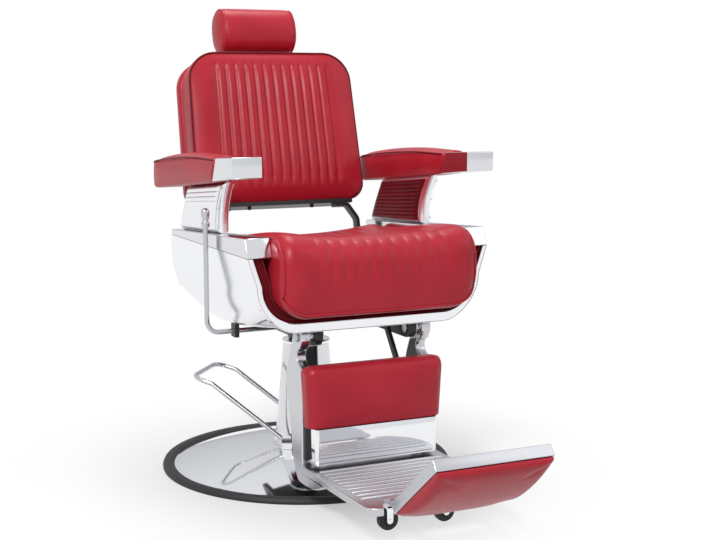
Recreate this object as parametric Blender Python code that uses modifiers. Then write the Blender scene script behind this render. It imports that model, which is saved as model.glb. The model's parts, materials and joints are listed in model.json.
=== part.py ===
# Reclining barber chair on a hydraulic pump, modelled at full size in metres.
# The origin is on the floor under the pump, +Z is up, the sitter faces -Y and +X is the sitter's left.
# Heights of the seat, back and legrest are measured from the underside of the seat's tub.

import math

import bmesh
import bpy
import numpy as np
from mathutils import Matrix, Vector

# Running and seating clearance between neighbours
CLEARANCE = 0.0003
ROUND_STEPS = 48

# Base: floor plate, pressed cover, rubber ring
BASE_RADIUS = 0.350
RING_WIDTH = 0.028
RING_HEIGHT = 0.014
RING_WALL = 0.014
FLOOR_PLATE_THICKNESS = 0.006
COVER_SHEET = 0.0015
COVER_RISE = 0.046
COVER_RIM = 0.014

# Pump: sleeve, cylinder, collar and piston
SLEEVE_TOP_RADIUS = 0.0555
SLEEVE_FOOT_RADIUS = 0.0735
SLEEVE_FLARE = 0.0085
SLEEVE_LENGTH = 0.2465
SLEEVE_SHEET = 0.002
PISTON_RADIUS = 0.032
CYLINDER_WALL = 0.008
COLLAR_HEIGHT = 0.007
COLLAR_OVERHANG = 0.003
LIFT_TRAVEL = 0.150
SWIVEL_BLOCK_RADIUS = 0.043
SWIVEL_BLOCK_HEIGHT = 0.031
SWIVEL_HEAD_RADIUS = 0.072
SWIVEL_HEAD_HEIGHT = 0.031

# Pedal of the pump, a loop of round rod that points behind the sitter's right
PEDAL_HEADING = math.radians(140.3)
PEDAL_ROD = 0.0055
PEDAL_HALF_WIDTH = 0.086
PEDAL_PIVOT_OUT = 0.020
PEDAL_PIVOT_ABOVE_COVER = 0.022
PEDAL_BEND_OUT = 0.212
PEDAL_BEND_UP = 0.125
PEDAL_TIP_OUT = 0.262
PEDAL_TIP_UP = 0.139
PEDAL_CORNER = 0.030
PEDAL_HUB = 0.018
PEDAL_BRACKET_SHEET = 0.004

# Tub of the seat, a chrome U with a red U liner
TUB_HALF_WIDTH = 0.287
TUB_LEAN = 0.020
TUB_CORNER = 0.092
TUB_REAR_CORNER = 0.030
TUB_DEPTH = 0.153
TUB_FRONT = -0.367
TUB_REAR = 0.150
TUB_REAR_LIFT = 0.330
TUB_REAR_RISE = 0.130
TUB_BELLY = 0.030
TUB_BELLY_SPAN = 0.440
TUB_LIP_DROP = 0.011
TUB_LIP_THICKNESS = 0.010
TUB_SIDE_WALL = 0.011
TUB_BOTTOM_WALL = 0.009
LINER_SIDE_WALL = 0.024
LINER_BOTTOM_WALL = 0.015
LINER_SETBACK = 0.009
LINER_REAR_SETBACK = 0.030
TUB_OPENING_HALF_WIDTH = 0.126
TUB_FRONT_STRIP = 0.077

# Side rails and arms
RAIL_INSIDE = 0.232
RAIL_FRONT_HEIGHT = 0.041
RAIL_REAR_HEIGHT = 0.0135
RAIL_RAKE = 0.018
ARM_PANEL_INSIDE = 0.240
ARM_PANEL_THICKNESS = 0.030
ARM_PANEL_TOP_FRONT = -0.180
ARM_PANEL_TOP_REAR = 0.079
ARM_PANEL_FOOT_FRONT = -0.137
ARM_PANEL_FOOT_REAR = 0.142
ARM_PANEL_WAIST = 0.004
INSERT_THICKNESS = 0.0025
INSERT_RIB = 0.0018
INSERT_RIB_COUNT = 9
INSERT_BORDER = 0.012
ARM_INSIDE = 0.245
ARM_WIDTH = 0.067
ARM_PAD_FRONT = -0.235
ARM_PAD_REAR = 0.245
ARM_PAD_BASE = 0.306
ARM_PAD_SLOPE = 0.0995
ARM_PAD_CREST = 0.361
ARM_PAD_REAR_DROP = 0.030
ARM_CAP_FRONT = -0.347
ARM_CAP_FRONT_LOW = 0.319
ARM_CAP_FRONT_HIGH = 0.363
ARM_JOINT_RAKE = 0.0125

# Seat cushion
SEAT_HALF_WIDTH = 0.2312
SEAT_FRONT = -0.428
SEAT_REAR = 0.076
SEAT_REAR_TOP = 0.166
SEAT_FRONT_TOP = 0.192
SEAT_SIDE_RISE = 0.010
SEAT_EDGE_ROUND = 0.024
SEAT_FRONT_ROUND = 0.060
SEAT_CHANNELS = 10
SEAT_CHANNEL_PITCH = 0.030
SEAT_CHANNEL_DEPTH = 0.005

# Seat base and the pivots that it carries
BASE_PLATE_DROP = 0.034
BASE_PLATE_THICKNESS = 0.008
BASE_PLATE_HALF_LENGTH = 0.110
BASE_RAIL_INSIDE = 0.106
BASE_RAIL_THICKNESS = 0.016
BASE_RAIL_HALF_HEIGHT = 0.022
BASE_WING_OUTSIDE = 0.172
BASE_WING_THICKNESS = 0.008
LEG_PIVOT_Y = -0.320
LEG_PIVOT_DROP = 0.028
LEG_PIN_RADIUS = 0.007
BACK_LUG_HALF_WIDTH = 0.020
BACK_PIVOT_RADIUS = 0.010

# Backrest, in its own plane: across, up along the back, and out of its front
BACK_FOOT_Y = 0.1359
BACK_FOOT_HEIGHT = 0.2258
BACK_TILT = math.radians(13.5)
BACK_HALF_WIDTH = 0.2217
BACK_TAPER = 0.009
BACK_LENGTH = 0.3735
BACK_PAD_THICKNESS = 0.070
BACK_CROWN = 0.014
BACK_TOP_CORNER = 0.072
BACK_FOOT_CORNER = 0.038
BACK_CHANNELS = 12
BACK_CHANNEL_PITCH = 0.0255
BACK_CHANNEL_DEPTH = 0.005
BACK_CHANNEL_MARGIN = 0.024
BACK_BOARD_THICKNESS = 0.035
BACK_BOARD_OVERHANG = 0.006
BACK_BAR_THICKNESS = 0.010
BACK_BAR_HALF_WIDTH = 0.190
BACK_PIVOT_BELOW = 0.130
BACK_PIVOT_BEHIND = 0.0150
BRACKET_BAR = 0.009
BRACKET_WIDTH = 0.024
BRACKET_FOOT_INSIDE = 0.140
BRACKET_SIDE = 0.2005
BRACKET_KINK = 0.052

# Headrest
HEADREST_HALF_LENGTH = 0.106
HEADREST_HEIGHT = 0.106
HEADREST_DEPTH = 0.100
HEADREST_GAP = 0.029
HEADREST_BEHIND = 0.089
HEADREST_BAR_HALF_WIDTH = 0.018
HEADREST_BAR_THICKNESS = 0.008
HEADREST_BAR_LENGTH = 0.225
HEADREST_POCKET = 0.040
HEADREST_TRAVEL = 0.100
SLEEVE_PLATE = 0.0025

# Recline lever on the sitter's right
LEVER_ROD = 0.0055
LEVER_OFFSET = 0.010
LEVER_Y = -0.148
LEVER_UNDER_WING = 0.023
LEVER_TOP = 0.200
LEVER_BEND = 0.028
LEVER_REACH = 0.170
KNOB_RADIUS = 0.0095
KNOB_HEIGHT = 0.042
BUSH_X = 0.236
BUSH_THICKNESS = 0.010

# Legrest
LEG_INSIDE = 0.135
LEG_THICKNESS = 0.023
LEG_FRONT = -0.345
LEG_FOOT_DROP = 0.349
CALF_BOARD_THICKNESS = 0.010
CALF_BOARD_HALF_WIDTH = 0.155
CALF_BOTTOM = -0.2185
CALF_TOP = -0.083
CALF_HALF_WIDTH = 0.166
CALF_TAPER = 0.008
CALF_THICKNESS = 0.040
CALF_CROWN = 0.010
KICK_HALF_WIDTH = 0.147
KICK_BOTTOM = -0.297
KICK_DEPTH = 0.0405
KICK_SHEET = 0.0015
CROSS_TUBE_RADIUS = 0.009
CROSS_TUBE_HEIGHT = -0.246
STEP_TOP = -0.3055
STEP_THICKNESS = 0.0155
STEP_HALF_WIDTH = 0.163
STEP_REAR = -0.3475
STEP_FRONT = -0.690
STEP_NOTCH_FRONT = -0.643
STEP_NOTCH_HALF_WIDTH = 0.128
STEP_CORNER = 0.030
STEP_RIBS = 10
STEP_RIB_PITCH = 0.0225
STEP_RIB_HEIGHT = 0.0025
STEP_RIB_HALF_LENGTH = 0.147
STEP_RIB_FIRST = -0.415

# Flip footrest, in its own plane: across, up along the tray, and out of the padded face
FLIP_HINGE_Y = -0.702
FLIP_HINGE_HEIGHT = -0.298
FLIP_TILT = math.radians(38)
FLIP_HALF_WIDTH = 0.128
FLIP_LENGTH = 0.222
FLIP_START = 0.012
FLIP_BACK = -0.002
FLIP_TRAY_DEPTH = 0.0245
FLIP_TRAY_WALL = 0.003
FLIP_PAD_THICKNESS = 0.010
FLIP_PAD_CROWN = 0.016
FLIP_PAD_BORDER = 0.003
HINGE_EYE = 0.0085
HINGE_PIN = 0.0035
HINGE_ARM_X = 0.085
HINGE_ARM_WIDTH = 0.022
HINGE_KNUCKLE_WIDTH = 0.016

# Wheels under the step plate
WHEEL_RADIUS = 0.0222
WHEEL_WIDTH = 0.017
WHEEL_X = 0.066
WHEEL_Y = -0.574
WHEEL_DROP = 0.3718
AXLE_RADIUS = 0.004
FORK_SHEET = 0.003

# Link between the back's crank and the legrest
LINK_X = 0.085
LINK_THICKNESS = 0.008
LINK_WIDTH = 0.014
LINK_LENGTH = 0.150
LINK_ANGLE = math.radians(53.3)
LINK_FOOT_Y = -0.335
LINK_FOOT_HEIGHT = -0.123

# Heights that follow from the stack on the pump
plate_top = FLOOR_PLATE_THICKNESS
cover_top = plate_top + CLEARANCE + COVER_SHEET + COVER_RISE
sleeve_foot = cover_top + CLEARANCE
sleeve_top = sleeve_foot + SLEEVE_LENGTH
collar_base = sleeve_top + CLEARANCE
collar_top = collar_base + COLLAR_HEIGHT
block_base = collar_top + 5 * CLEARANCE
block_top = block_base + SWIVEL_BLOCK_HEIGHT
head_base = block_top + CLEARANCE
head_top = head_base + SWIVEL_HEAD_HEIGHT
tub_underside = head_top + CLEARANCE + BASE_PLATE_DROP
pedal_pivot_height = cover_top + PEDAL_PIVOT_ABOVE_COVER
pedal_pin_radius = PEDAL_HUB / 4
lever_axis = -(CLEARANCE + BASE_WING_THICKNESS + LEVER_UNDER_WING + LEVER_ROD)

# Frames in which the pieces are drawn
FLOOR = Matrix.Identity(4)
PEDAL = Matrix.Rotation(PEDAL_HEADING, 4, "Z")
SEAT = Matrix.Translation((0, 0, tub_underside))
BACK_TURN = Matrix.Rotation(math.pi / 2 - BACK_TILT, 4, "X")
FLIP_TURN = Matrix.Rotation(math.pi - FLIP_TILT, 4, "X")
BACK = SEAT @ Matrix.Translation((0, BACK_FOOT_Y, BACK_FOOT_HEIGHT)) @ BACK_TURN
FLIP = SEAT @ Matrix.Translation((0, FLIP_HINGE_Y, FLIP_HINGE_HEIGHT)) @ FLIP_TURN

# Planes for flat outlines: the outline's two axes and the way it is thickened
ALONG_X = Matrix(((0, 0, 1, 0), (1, 0, 0, 0), (0, 1, 0, 0), (0, 0, 0, 1)))
ALONG_Y = Matrix(((1, 0, 0, 0), (0, 0, -1, 0), (0, 1, 0, 0), (0, 0, 0, 1)))
ALONG_Z = Matrix.Identity(4)

SIDES = (("left", 1), ("right", -1))


# Scene, finishes and bodies
def clear_scene():
    for item in list(bpy.data.objects):
        bpy.data.objects.remove(item, do_unlink=True)


def new_collection(name):
    collection = bpy.data.collections.new(name)
    bpy.context.scene.collection.children.link(collection)
    return collection


def linear(hex_text):
    channels = [int(hex_text[k:k + 2], 16) / 255 for k in (0, 2, 4)]
    return [c / 12.92 if c <= 0.04045 else ((c + 0.055) / 1.055) ** 2.4 for c in channels] + [1.0]


def finish(name, hex_text, roughness, metallic):
    surface = bpy.data.materials.new(name)
    surface.use_nodes = True
    shader = surface.node_tree.nodes["Principled BSDF"]
    shader.inputs["Base Color"].default_value = linear(hex_text)
    shader.inputs["Roughness"].default_value = roughness
    shader.inputs["Metallic"].default_value = metallic
    return surface


clear_scene()
PARTS = new_collection("reclining_barber_chair")
CUTTERS = new_collection("cutters")

CHROME = finish("chrome", "E4E5E8", 0.08, 1.0)
ALUMINIUM = finish("polished cast aluminium", "CFCFD2", 0.25, 1.0)
STEEL = finish("ground steel", "B9BBBE", 0.2, 1.0)
BLACK = finish("black steel", "161617", 0.45, 0.2)
RUBBER = finish("black rubber", "1B1B1C", 0.7, 0.0)
RED = finish("red leatherette", "A8232F", 0.4, 0.0)
DARK_RED = finish("dark red panel", "5E1219", 0.5, 0.0)


def body_frame(name, place, parent=None):
    """Empty on a body's joint axis, which carries the body's pieces."""
    holder = bpy.data.objects.new(name, None)
    holder.empty_display_size = 0.05
    PARTS.objects.link(holder)
    holder["place"] = [value for row in place for value in row]
    if parent:
        holder.parent = parent
        holder.matrix_parent_inverse = frame_of(parent).inverted()
    holder.matrix_basis = place
    return holder


def frame_of(holder):
    values = list(holder["place"])
    return Matrix([values[row * 4:row * 4 + 4] for row in range(4)])


base_body = body_frame("base_body", FLOOR)
pedal_body = body_frame(
    "pedal_body", PEDAL @ Matrix.Translation((PEDAL_PIVOT_OUT, 0, pedal_pivot_height)), base_body)
lift_body = body_frame("lift_body", Matrix.Translation((0, 0, block_base)), base_body)
seat_body = body_frame("seat_body", SEAT, lift_body)
back_body = body_frame(
    "back_body", BACK @ Matrix.Translation((0, -BACK_PIVOT_BELOW, -BACK_PIVOT_BEHIND)), seat_body)
headrest_body = body_frame("headrest_body", BACK @ Matrix.Translation((0, BACK_LENGTH, 0)), back_body)
lever_body = body_frame(
    "lever_body", SEAT @ Matrix.Translation((-TUB_HALF_WIDTH, LEVER_Y, lever_axis)), seat_body)
leg_body = body_frame(
    "leg_body", SEAT @ Matrix.Translation((0, LEG_PIVOT_Y, -LEG_PIVOT_DROP)), seat_body)
link_body = body_frame(
    "link_body", SEAT @ Matrix.Translation((LINK_X, LINK_FOOT_Y, LINK_FOOT_HEIGHT)), leg_body)
flip_body = body_frame("flip_body", FLIP, leg_body)
wheel_bodies = {}
for wheel_side, wheel_sign in SIDES:
    hub_place = SEAT @ Matrix.Translation((wheel_sign * WHEEL_X, WHEEL_Y, -WHEEL_DROP))
    wheel_bodies[wheel_side] = body_frame(wheel_side + "_wheel_body", hub_place, leg_body)


# Modelling tools
def attach(item, surface, body, place):
    """Give a piece its finish, its body and its place in the world."""
    item.data.materials.clear()
    item.data.materials.append(surface)
    PARTS.objects.link(item)
    item.parent = body
    item.matrix_parent_inverse = frame_of(body).inverted()
    item.matrix_basis = place
    return item


def solid(name, mesh_work):
    """Object from a bmesh whose doubles are merged and whose faces point out."""
    bmesh.ops.remove_doubles(mesh_work, verts=mesh_work.verts, dist=1e-6)
    bmesh.ops.dissolve_degenerate(mesh_work, edges=mesh_work.edges, dist=1e-7)
    bmesh.ops.recalc_face_normals(mesh_work, faces=mesh_work.faces)
    mesh = bpy.data.meshes.new(name)
    mesh_work.to_mesh(mesh)
    mesh_work.free()
    mesh.shade_smooth()
    mesh.set_sharp_from_angle(angle=math.radians(32))
    return bpy.data.objects.new(name, mesh)


def baked(name, source):
    """Mesh object from the evaluated form of a curve or a modified mesh, which is then removed."""
    bpy.context.scene.collection.objects.link(source)
    graph = bpy.context.evaluated_depsgraph_get()
    mesh = bpy.data.meshes.new_from_object(source.evaluated_get(graph))
    work = bmesh.new()
    work.from_mesh(mesh)
    bpy.data.objects.remove(source, do_unlink=True)
    bpy.data.meshes.remove(mesh)
    return solid(name, work)


def curve_object(name, points, cyclic, dimensions):
    data = bpy.data.curves.new(name, "CURVE")
    data.dimensions = dimensions
    spline = data.splines.new("POLY")
    spline.points.add(len(points) - 1)
    for point, place in zip(spline.points, points):
        point.co = tuple(place) + (0.0,) * (3 - len(place)) + (1.0,)
    spline.use_cyclic_u = cyclic
    return bpy.data.objects.new(name, data)


def flat(name, outline, low, high, plane):
    """Flat outline thickened from low to high along the plane's third axis."""
    item = curve_object(name, outline, True, "2D")
    item.data.fill_mode = "BOTH"
    item.data.extrude = (high - low) / 2
    item = baked(name, item)
    item.data.transform(plane @ Matrix.Translation((0, 0, (high + low) / 2)))
    return item


def rod(name, points, radius):
    """Round bar along a path, with filled ends."""
    item = curve_object(name, points, False, "3D")
    item.data.bevel_depth = radius
    item.data.bevel_resolution = 2
    item.data.use_fill_caps = True
    return baked(name, item)


def turned(name, profile, steps=32, closed=False, axis="Z"):
    """Profile of (radius, height) points turned about an axis; a closed profile makes a ring."""
    mesh = bpy.data.meshes.new(name)
    count = len(profile)
    edges = [(k, k + 1) for k in range(count - 1)] + ([(count - 1, 0)] if closed else [])
    mesh.from_pydata([(r, 0, z) for r, z in profile], edges, [])
    item = bpy.data.objects.new(name, mesh)
    screw = item.modifiers.new("turn", "SCREW")
    screw.angle = math.tau
    screw.steps = steps
    screw.render_steps = steps
    screw.use_merge_vertices = True
    screw.merge_threshold = 0.00001
    item = baked(name, item)
    if axis == "X":
        item.data.transform(Matrix.Rotation(math.pi / 2, 4, "Y"))
    if axis == "Y":
        item.data.transform(Matrix.Rotation(-math.pi / 2, 4, "X"))
    return item


def lofted(name, rings):
    """Closed form through a row of closed rings of equal count, with its two ends filled."""
    rings = np.asarray(rings)
    rows, count = rings.shape[:2]
    work = bmesh.new()
    grid = [[work.verts.new(point) for point in ring] for ring in rings]
    for row in range(rows - 1):
        for k in range(count):
            after = (k + 1) % count
            work.faces.new((grid[row][k], grid[row][after], grid[row + 1][after], grid[row + 1][k]))
    work.faces.new(grid[0])
    work.faces.new(grid[-1])
    return solid(name, work)


def walled(name, outer, inner):
    """Closed wall between two open grids of equal size."""
    outer = np.asarray(outer)
    inner = np.asarray(inner)
    rings = np.concatenate([outer, inner[:, ::-1]], axis=1)
    rows, count = rings.shape[:2]
    half = count // 2
    work = bmesh.new()
    grid = [[work.verts.new(point) for point in ring] for ring in rings]
    for row in range(rows - 1):
        for k in range(count):
            after = (k + 1) % count
            work.faces.new((grid[row][k], grid[row][after], grid[row + 1][after], grid[row + 1][k]))
    for row in (0, rows - 1):
        for k in range(half - 1):
            mate = count - 1 - k
            work.faces.new((grid[row][k], grid[row][k + 1], grid[row][mate - 1], grid[row][mate]))
    return solid(name, work)


def block(name, low, high, bevel=0.0):
    """Box between two corners, with its edges broken by a bevel."""
    work = bmesh.new()
    bmesh.ops.create_cube(work, size=1)
    size = Vector(high) - Vector(low)
    middle = (Vector(high) + Vector(low)) / 2
    placing = Matrix.Translation(middle) @ Matrix.Diagonal((*size, 1))
    bmesh.ops.transform(work, matrix=placing, verts=work.verts)
    item = solid(name, work)
    if bevel:
        soften(item, bevel)
    return item


def soften(item, width, segments=2):
    bevel = item.modifiers.new("soft edges", "BEVEL")
    bevel.width = width
    bevel.segments = segments
    bevel.limit_method = "ANGLE"
    bevel.angle_limit = math.radians(40)


def combine(item, tool, operation, place):
    """Cut or fuse a tool, drawn in the same frame as the item."""
    CUTTERS.objects.link(tool)
    tool.matrix_basis = place
    tool.hide_render = True
    tool.display_type = "WIRE"
    change = item.modifiers.new(tool.name, "BOOLEAN")
    change.operation = operation
    change.solver = "EXACT"
    change.object = tool


def drill(item, radius, centre, length, place, axis="X"):
    """Straight round hole through a point, along one axis of the frame."""
    half = length / 2
    profile = [(0, half), (radius, half), (radius, -half), (0, -half)]
    tool = turned(item.name + " drill", profile, 20, axis=axis)
    tool.data.transform(Matrix.Translation(centre))
    combine(item, tool, "DIFFERENCE", place)


def arc(centre, radius, start, end, steps):
    """Points of an arc between two angles in degrees."""
    angles = np.radians(np.linspace(start, end, steps + 1))
    return [(centre[0] + radius * math.cos(a), centre[1] + radius * math.sin(a)) for a in angles]


def rounded(corners, steps=4):
    """Outline through (a, b, radius) corners, with an arc at each corner that has a radius."""
    points = []
    for index, (a, b, radius) in enumerate(corners):
        here = Vector((a, b))
        back = (Vector(corners[index - 1][:2]) - here).normalized()
        ahead = (Vector(corners[(index + 1) % len(corners)][:2]) - here).normalized()
        if radius == 0:
            points.append((a, b))
            continue
        half = back.angle(ahead) / 2
        centre = here + (back + ahead).normalized() * (radius / math.sin(half))
        start = here + back * (radius / math.tan(half)) - centre
        end = here + ahead * (radius / math.tan(half)) - centre
        first = math.atan2(start.y, start.x)
        sweep = (math.atan2(end.y, end.x) - first + math.pi) % math.tau - math.pi
        turn = [first + sweep * k / steps for k in range(steps + 1)]
        points += [(centre.x + radius * math.cos(t), centre.y + radius * math.sin(t)) for t in turn]
    return points


def strip(path, half):
    """Outline of a flat bar of half-width `half` bent along a path."""
    path = [Vector(point) for point in path]
    left = []
    right = []
    for index, point in enumerate(path):
        into = (point - path[index - 1] if index else path[1] - point).normalized()
        out = (path[index + 1] - point if index + 1 < len(path) else into).normalized()
        along = (into + out).normalized()
        side = Vector((-along.y, along.x)) * (half / along.dot(into))
        left.append(tuple(point + side))
        right.append(tuple(point - side))
    return left + right[::-1]


def channel_stations(count, pitch, plain_edge):
    """Positions across a channelled cushion, denser beside each sewn line, out to its plain edges."""
    first = -count * pitch / 2
    sewn = [first + pitch * (k + f) for k in range(count) for f in (0, 0.16, 0.5, 0.84)] + [-first]
    return np.array([-x for x in plain_edge[::-1]] + sewn + list(plain_edge))


def channel_dip(x, count, pitch, depth):
    """Depth below the crest: full at a sewn line, none midway between two, none outside the lines."""
    half = count * pitch / 2
    phase = np.abs((x + half) / pitch - np.round((x + half) / pitch)) * 2
    dip = depth * (1 - np.clip(phase, 0, 1)) ** 3
    beyond = depth * np.clip(1 - (np.abs(x) - half) / pitch * 2, 0, 1) ** 3
    return np.where(np.abs(x) <= half + 1e-6, dip, beyond)


def edge_drop(x, half_width, radius):
    """How far a quarter-round edge falls at x, from none inside it to the radius at the side."""
    over = np.clip((np.abs(x) - (half_width - radius)) / radius, 0, 1)
    return radius * (1 - np.sqrt(np.maximum(0, 1 - over ** 2)))


# Base on the floor
cover_hole = SLEEVE_FOOT_RADIUS + SLEEVE_FLARE - 2 * SLEEVE_SHEET
cover_rim = BASE_RADIUS - RING_WALL - CLEARANCE - COVER_RIM


def cover_height(radius):
    """Top of the pressed cover: flat at the rim, then a full curve that levels out towards the pump."""
    share = min(1.0, max(0.0, (cover_rim - radius) / (cover_rim - cover_hole)))
    return plate_top + CLEARANCE + COVER_SHEET + COVER_RISE * (1 - (1 - share) ** 1.72)


def make_base():
    plate_radius = BASE_RADIUS - RING_WALL
    disc = [(0, plate_top), (plate_radius, plate_top), (plate_radius, 0), (0, 0)]
    plate = turned("floor_plate", disc, ROUND_STEPS)
    attach(plate, STEEL, base_body, FLOOR)

    foot = plate_top + CLEARANCE
    edge = plate_radius - CLEARANCE
    radii = np.linspace(cover_rim, cover_hole, 9)
    top = [(edge, cover_height(edge))] + [(r, cover_height(r)) for r in radii]
    under = [(r, z - COVER_SHEET) for r, z in top]
    cover = turned("base_cover", top + under[::-1], ROUND_STEPS, closed=True)
    attach(cover, CHROME, base_body, FLOOR)

    lip = foot + COVER_SHEET + CLEARANCE
    inside = BASE_RADIUS - RING_WIDTH
    section = [(plate_radius + CLEARANCE, 0), (plate_radius + CLEARANCE, lip), (inside, lip),
               (inside + 0.001, (lip + RING_HEIGHT) / 2), (inside + 0.006, RING_HEIGHT * 0.96),
               (inside + 0.012, RING_HEIGHT), (BASE_RADIUS - 0.006, RING_HEIGHT * 0.95),
               (BASE_RADIUS - 0.0015, RING_HEIGHT * 0.7), (BASE_RADIUS, RING_HEIGHT * 0.35),
               (BASE_RADIUS - 0.001, 0)]
    attach(turned("edge_ring", section, ROUND_STEPS, closed=True), RUBBER, base_body, FLOOR)


# Pump column
def make_pump():
    flare = SLEEVE_FOOT_RADIUS + SLEEVE_FLARE
    outer = [(SLEEVE_TOP_RADIUS, sleeve_top), (SLEEVE_FOOT_RADIUS, sleeve_foot + 0.030),
             (SLEEVE_FOOT_RADIUS + SLEEVE_FLARE * 0.4, sleeve_foot + 0.012), (flare, sleeve_foot)]
    inner = [(r - SLEEVE_SHEET, z) for r, z in outer]
    attach(turned("pump_sleeve", outer + inner[::-1], 40, closed=True), CHROME, base_body, FLOOR)

    bore = PISTON_RADIUS + CLEARANCE
    wall = bore + CYLINDER_WALL
    low = plate_top + CLEARANCE
    floor_web = low + CYLINDER_WALL
    high = sleeve_top - CYLINDER_WALL
    cup = [(0, floor_web), (bore, floor_web), (bore, high), (wall, high), (wall, low), (0, low)]
    attach(turned("pump_cylinder", cup, 32), STEEL, base_body, FLOOR)

    rim = SLEEVE_TOP_RADIUS + COLLAR_OVERHANG
    ring = [(bore, collar_top), (rim - 0.002, collar_top), (rim, collar_top - 0.002), (rim, collar_base),
            (bore, collar_base)]
    attach(turned("pump_collar", ring, 40, closed=True), CHROME, base_body, FLOOR)

    foot = high - LIFT_TRAVEL - 0.050
    piston_top = block_base - CLEARANCE
    piston = [(0, piston_top), (PISTON_RADIUS, piston_top), (PISTON_RADIUS, foot), (0, foot)]
    attach(turned("piston_rod", piston, 32), STEEL, lift_body, FLOOR)

    edge = SWIVEL_BLOCK_RADIUS
    waist = edge * 0.86
    turret = [(0, block_top), (waist, block_top), (waist, block_top - 0.010), (edge, block_top - 0.014),
              (edge, block_base + 0.004), (edge - 0.004, block_base), (0, block_base)]
    attach(turned("swivel_block", turret, 32), BLACK, lift_body, FLOOR)

    flange = head_top - 0.008
    hub = SWIVEL_HEAD_RADIUS * 0.66
    head = [(0, head_top), (SWIVEL_HEAD_RADIUS, head_top), (SWIVEL_HEAD_RADIUS, flange), (hub + 0.006, flange),
            (hub, flange - 0.006), (hub, head_base), (0, head_base)]
    attach(turned("swivel_head", head, 32), BLACK, seat_body, FLOOR)


# Pump pedal, drawn pointing along +X and turned to its heading
def make_pedal():
    up = pedal_pivot_height
    root = PEDAL_PIVOT_OUT + PEDAL_HUB / 2 + CLEARANCE
    start = root + PEDAL_ROD
    slope = PEDAL_BEND_UP / (PEDAL_BEND_OUT - start)
    flat_slope = (PEDAL_TIP_UP - PEDAL_BEND_UP) / (PEDAL_TIP_OUT - PEDAL_BEND_OUT)

    def height(out):
        if out < PEDAL_BEND_OUT:
            return up + slope * (out - start)
        return up + PEDAL_BEND_UP + flat_slope * (out - PEDAL_BEND_OUT)

    bend = [start, PEDAL_BEND_OUT - 0.012, PEDAL_BEND_OUT - 0.003, PEDAL_BEND_OUT + 0.008]
    corner = arc((PEDAL_TIP_OUT - PEDAL_CORNER, PEDAL_HALF_WIDTH - PEDAL_CORNER), PEDAL_CORNER, 90, 0, 5)
    side = [(out, PEDAL_HALF_WIDTH) for out in bend] + corner
    half = [(root, PEDAL_HALF_WIDTH, up)] + [(out, across, height(out)) for out, across in side]
    loop = half + [(out, -across, z) for out, across, z in half[::-1]]
    attach(rod("pump_pedal", loop, PEDAL_ROD), CHROME, pedal_body, PEDAL)

    for side_name, sign in (("far", 1), ("near", -1)):
        middle = sign * PEDAL_HALF_WIDTH
        reach = PEDAL_HUB / 2
        low = (PEDAL_PIVOT_OUT - reach, middle - PEDAL_HUB * 0.4, up - reach)
        high = (PEDAL_PIVOT_OUT + reach, middle + PEDAL_HUB * 0.4, up + reach)
        hub = block(side_name + "_pedal_hub", low, high, PEDAL_HUB / 6)
        drill(hub, pedal_pin_radius + CLEARANCE, (PEDAL_PIVOT_OUT, middle, up), PEDAL_HUB * 2, PEDAL, "Y")
        attach(hub, BLACK, pedal_body, PEDAL)

        inside = PEDAL_HALF_WIDTH + PEDAL_HUB * 0.4 + CLEARANCE
        width = PEDAL_HUB * 0.7
        foot = cover_height(math.hypot(inside, PEDAL_PIVOT_OUT - width)) + 2 * CLEARANCE
        outline = [(PEDAL_PIVOT_OUT - width, foot), (PEDAL_PIVOT_OUT + width, foot)] + arc(
            (PEDAL_PIVOT_OUT, up), width, 0, 180, 8)
        ends = sorted((sign * inside, sign * (inside + PEDAL_BRACKET_SHEET)))
        bracket = flat(side_name + "_pedal_bracket", outline, -ends[1], -ends[0], ALONG_Y)
        pin_end = sign * (PEDAL_HALF_WIDTH - PEDAL_HUB * 0.4)
        pin_root = sign * (inside + PEDAL_BRACKET_SHEET / 2)
        pin = rod(side_name + " pedal pin", [(PEDAL_PIVOT_OUT, pin_end, up), (PEDAL_PIVOT_OUT, pin_root, up)],
                  pedal_pin_radius)
        combine(bracket, pin, "UNION", PEDAL)
        attach(bracket, CHROME, base_body, PEDAL)


# Tub and liner of the seat
def tub_section(side_inset, bottom_inset, share=0.0):
    """Half section from the top of the side down to the middle of the bottom, drawn in by two insets:
    it leans and has a wide corner at the front, and stands squarer by a share towards the rear."""
    lean = TUB_LEAN * (1 - share)
    radius = TUB_CORNER + (TUB_REAR_CORNER - TUB_CORNER) * share
    start = TUB_HALF_WIDTH - lean
    middle = start - radius
    side = TUB_HALF_WIDTH - side_inset
    points = [(side - lean * f, TUB_DEPTH + (radius - TUB_DEPTH) * f) for f in (0, 0.5)]
    for f in np.linspace(0, 1, 7):
        angle = math.pi / 2 * f
        reach = radius - side_inset * (1 - f) - bottom_inset * f
        points.append((middle + reach * math.cos(angle), radius - reach * math.sin(angle)))
    return np.array(points + [(middle / 2, bottom_inset), (0, bottom_inset)])


def tub_rear(height):
    """Rear edge of the tub from the side: upright above, swept far forward below like a boat's stern."""
    fall = np.clip((TUB_REAR_RISE - height) / TUB_REAR_RISE, 0, 1)
    return TUB_REAR - TUB_REAR_LIFT * fall ** 1.5


def tub_belly(along):
    """How far the lower corners of the tub hang down: nothing at the front and the stern, most between. Zero on
    the side and on the floor, which lies on the seat base."""
    corner = np.sin(math.pi * np.linspace(0, 1, 7)).clip(0) ** 0.8
    weight = np.concatenate([[0, 0], corner, [0, 0]])
    share = np.clip((along - TUB_FRONT) / TUB_BELLY_SPAN, 0, 1)
    return TUB_BELLY * weight * np.sin(math.pi * share).clip(0) ** 0.8


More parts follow.
